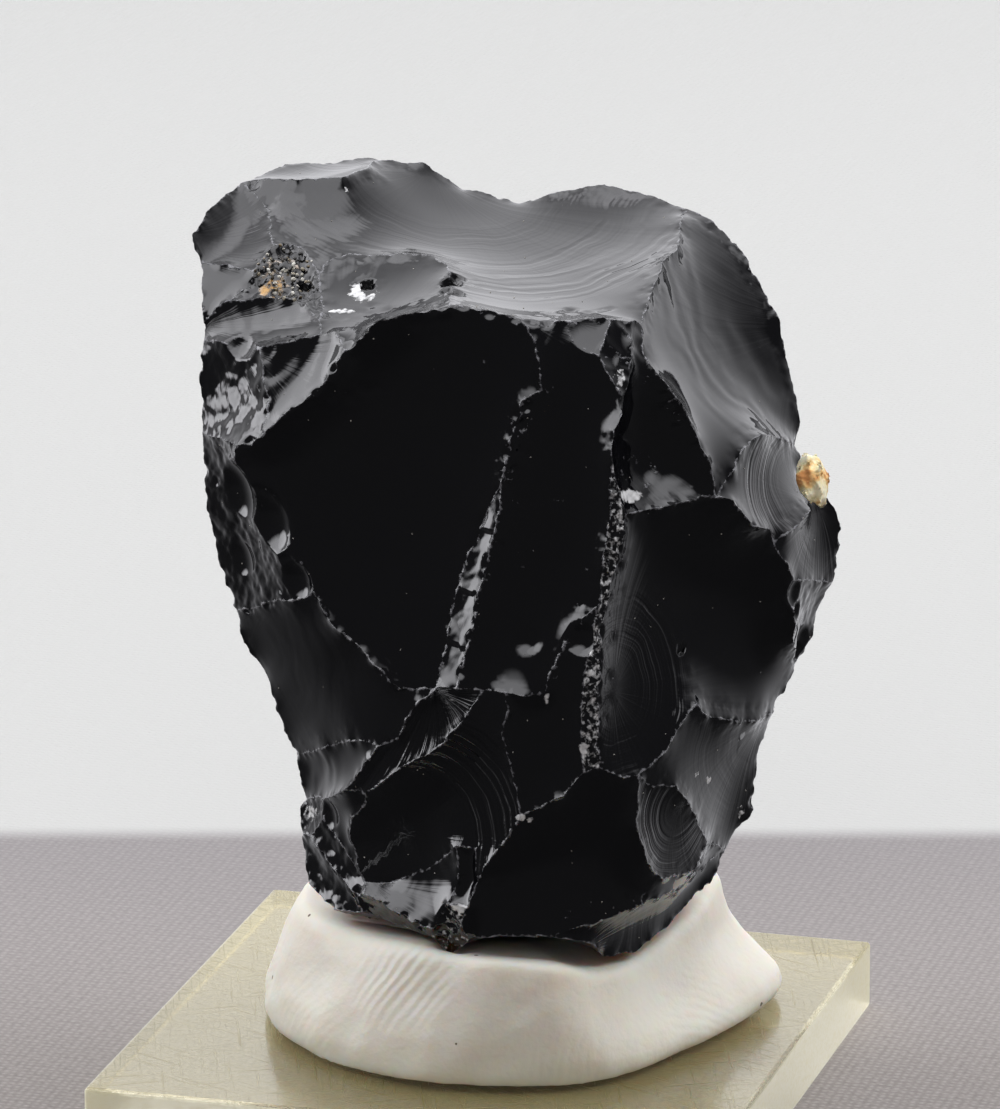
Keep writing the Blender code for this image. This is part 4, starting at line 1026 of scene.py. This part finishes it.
floor_mesh = bpy.data.meshes.new("floor")
floor_mesh.from_pydata([(-3, -3, 0), (3, -3, 0), (3, 3, 0), (-3, 3, 0)], [], [(0, 1, 2, 3)])
floor = add_object("floor", floor_mesh)
cloth, shader, add = new_material("plain pale cloth", Roughness=0.9, Specular_IOR_Level=0.1)
place = add("TexCoord", output="Object")
far = add("VectorMath", place, (-sin(TURN), cos(TURN), 0), operation="DOT_PRODUCT")
beyond = add("MapRange", far, HORIZON * MM, (HORIZON + 3) * MM, interpolation_type="SMOOTHSTEP")
threads = dict(Scale=1 / (1.35 * MM), Distortion=1.5, Detail=2, Detail_Scale=2, output="Fac")
warp, weft = (add("TexWave", place, bands_direction=way, **threads) for way in "XY")
slub = add("TexNoise", place, Scale=1 / (0.4 * MM), Detail=3, Roughness=0.7)
crossing = add("Math", warp, weft, **TIMES)
weave = add("Math", crossing, 0.3, add("Math", slub, 0.75, **TIMES), **TIMES_PLUS)
# painted shade: the cloth turns darker and greyer towards the back, where the overhead box lights it more
painted_far_shade = add("MapRange", far, 0, HORIZON * MM, 0, 0.5)
near_tone = add("Mix", painted_far_shade, add("Mix", weave, "#6C6665", "#A5A09E", **MIXED), "#77757A", **MIXED)
set_looks(
    shader,
    Base_Color=add("Mix", beyond, near_tone, "#ADADAD", **MIXED),
    Normal=add("Bump", Height=weave, Distance=0.15 * MM, Strength=0.5),
)
floor.data.materials.append(cloth)
floor.visible_glossy = False  # the glass mirrors a dark room, not the cloth


def direction(bearing, elevation):
    """A direction from the specimen, in degrees: bearing from behind the camera, positive to the right."""
    turn, rise = TURN + radians(bearing), radians(elevation)
    return Vector((sin(turn) * cos(rise), -cos(turn) * cos(rise), sin(rise)))


# Soft boxes light the putty and the cloth: bearing, elevation, size and power. The glass doesn't show them.
BOXES = dict(
    overhead=(180, 64, 0.6, 3.4), left=(-98, 46, 0.4, 2.5),
    right=(100, 48, 0.4, 3), front=(-10, 34, 0.4, 0.75),
)
BOX_AWAY = 0.6  # in metres
for name, (bearing, elevation, size, power) in BOXES.items():
    light = bpy.data.lights.new(name, "AREA")
    light.size = size
    light.energy = power
    lamp = add_object(name, light)
    lamp.location = direction(bearing, elevation) * BOX_AWAY
    lamp.rotation_euler = direction(bearing, elevation).to_track_quat("Z", "Y").to_euler()
    lamp.visible_camera = lamp.visible_glossy = False

# The surround that the glass mirrors: a bright wall behind, a window to the left, a ceiling panel, and a dark
# room. Each panel has a bearing, an elevation, the angles where it is full and where it is gone, and a power.
PANELS = [
    (-101, 34, 15, 31, 4.4), (-93, 60, 21, 33, 3.6), (-107, 13, 10, 18, 5.2), (0, 74, 20, 43, 2.9),
    (164, 72, 6, 22, 3.3),
]
world = bpy.data.worlds.new("studio")
bpy.context.scene.world = world
world.use_nodes = True
world.cycles_visibility.diffuse = False
add = partial(add_node, world.node_tree)
ray = add("TexCoord", output="Generated")
SOFT = dict(interpolation_type="SMOOTHSTEP")
rise = add("VectorMath", ray, (0, 0, 1), operation="DOT_PRODUCT")
behind = add("VectorMath", ray, direction(180, 0), operation="DOT_PRODUCT")
level = add("Math", add("Math", rise, -0.1, operation="MAXIMUM"), 0.6, behind, **TIMES_PLUS)
wall = add("Math", add("MapRange", level, 0.05, 1.25), 1.5, operation="POWER")
glow = add("Math", wall, 1.75, 0.1, **TIMES_PLUS)
glow = add("Math", glow, add("MapRange", rise, -0.6, -0.36, 0.7, 1, **SOFT), **TIMES)
for bearing, elevation, full, gone, power in PANELS:
    near = add("VectorMath", ray, direction(bearing, elevation), operation="DOT_PRODUCT")
    panel = add("MapRange", near, cos(radians(gone)), cos(radians(full)), 0, power, **SOFT)
    glow = add("Math", glow, panel, operation="MAXIMUM")
warm = add("Math", glow, 0.96, **TIMES)
seen = add("LightPath", output="Is Camera Ray")
sky = add("Mix", seen, add("CombineColor", warm, warm, glow), "#E6E4E3", **MIXED)
set_looks(world.node_tree.nodes["Background"], Color=sky)

bpy.context.scene.view_settings.view_transform = "Standard"
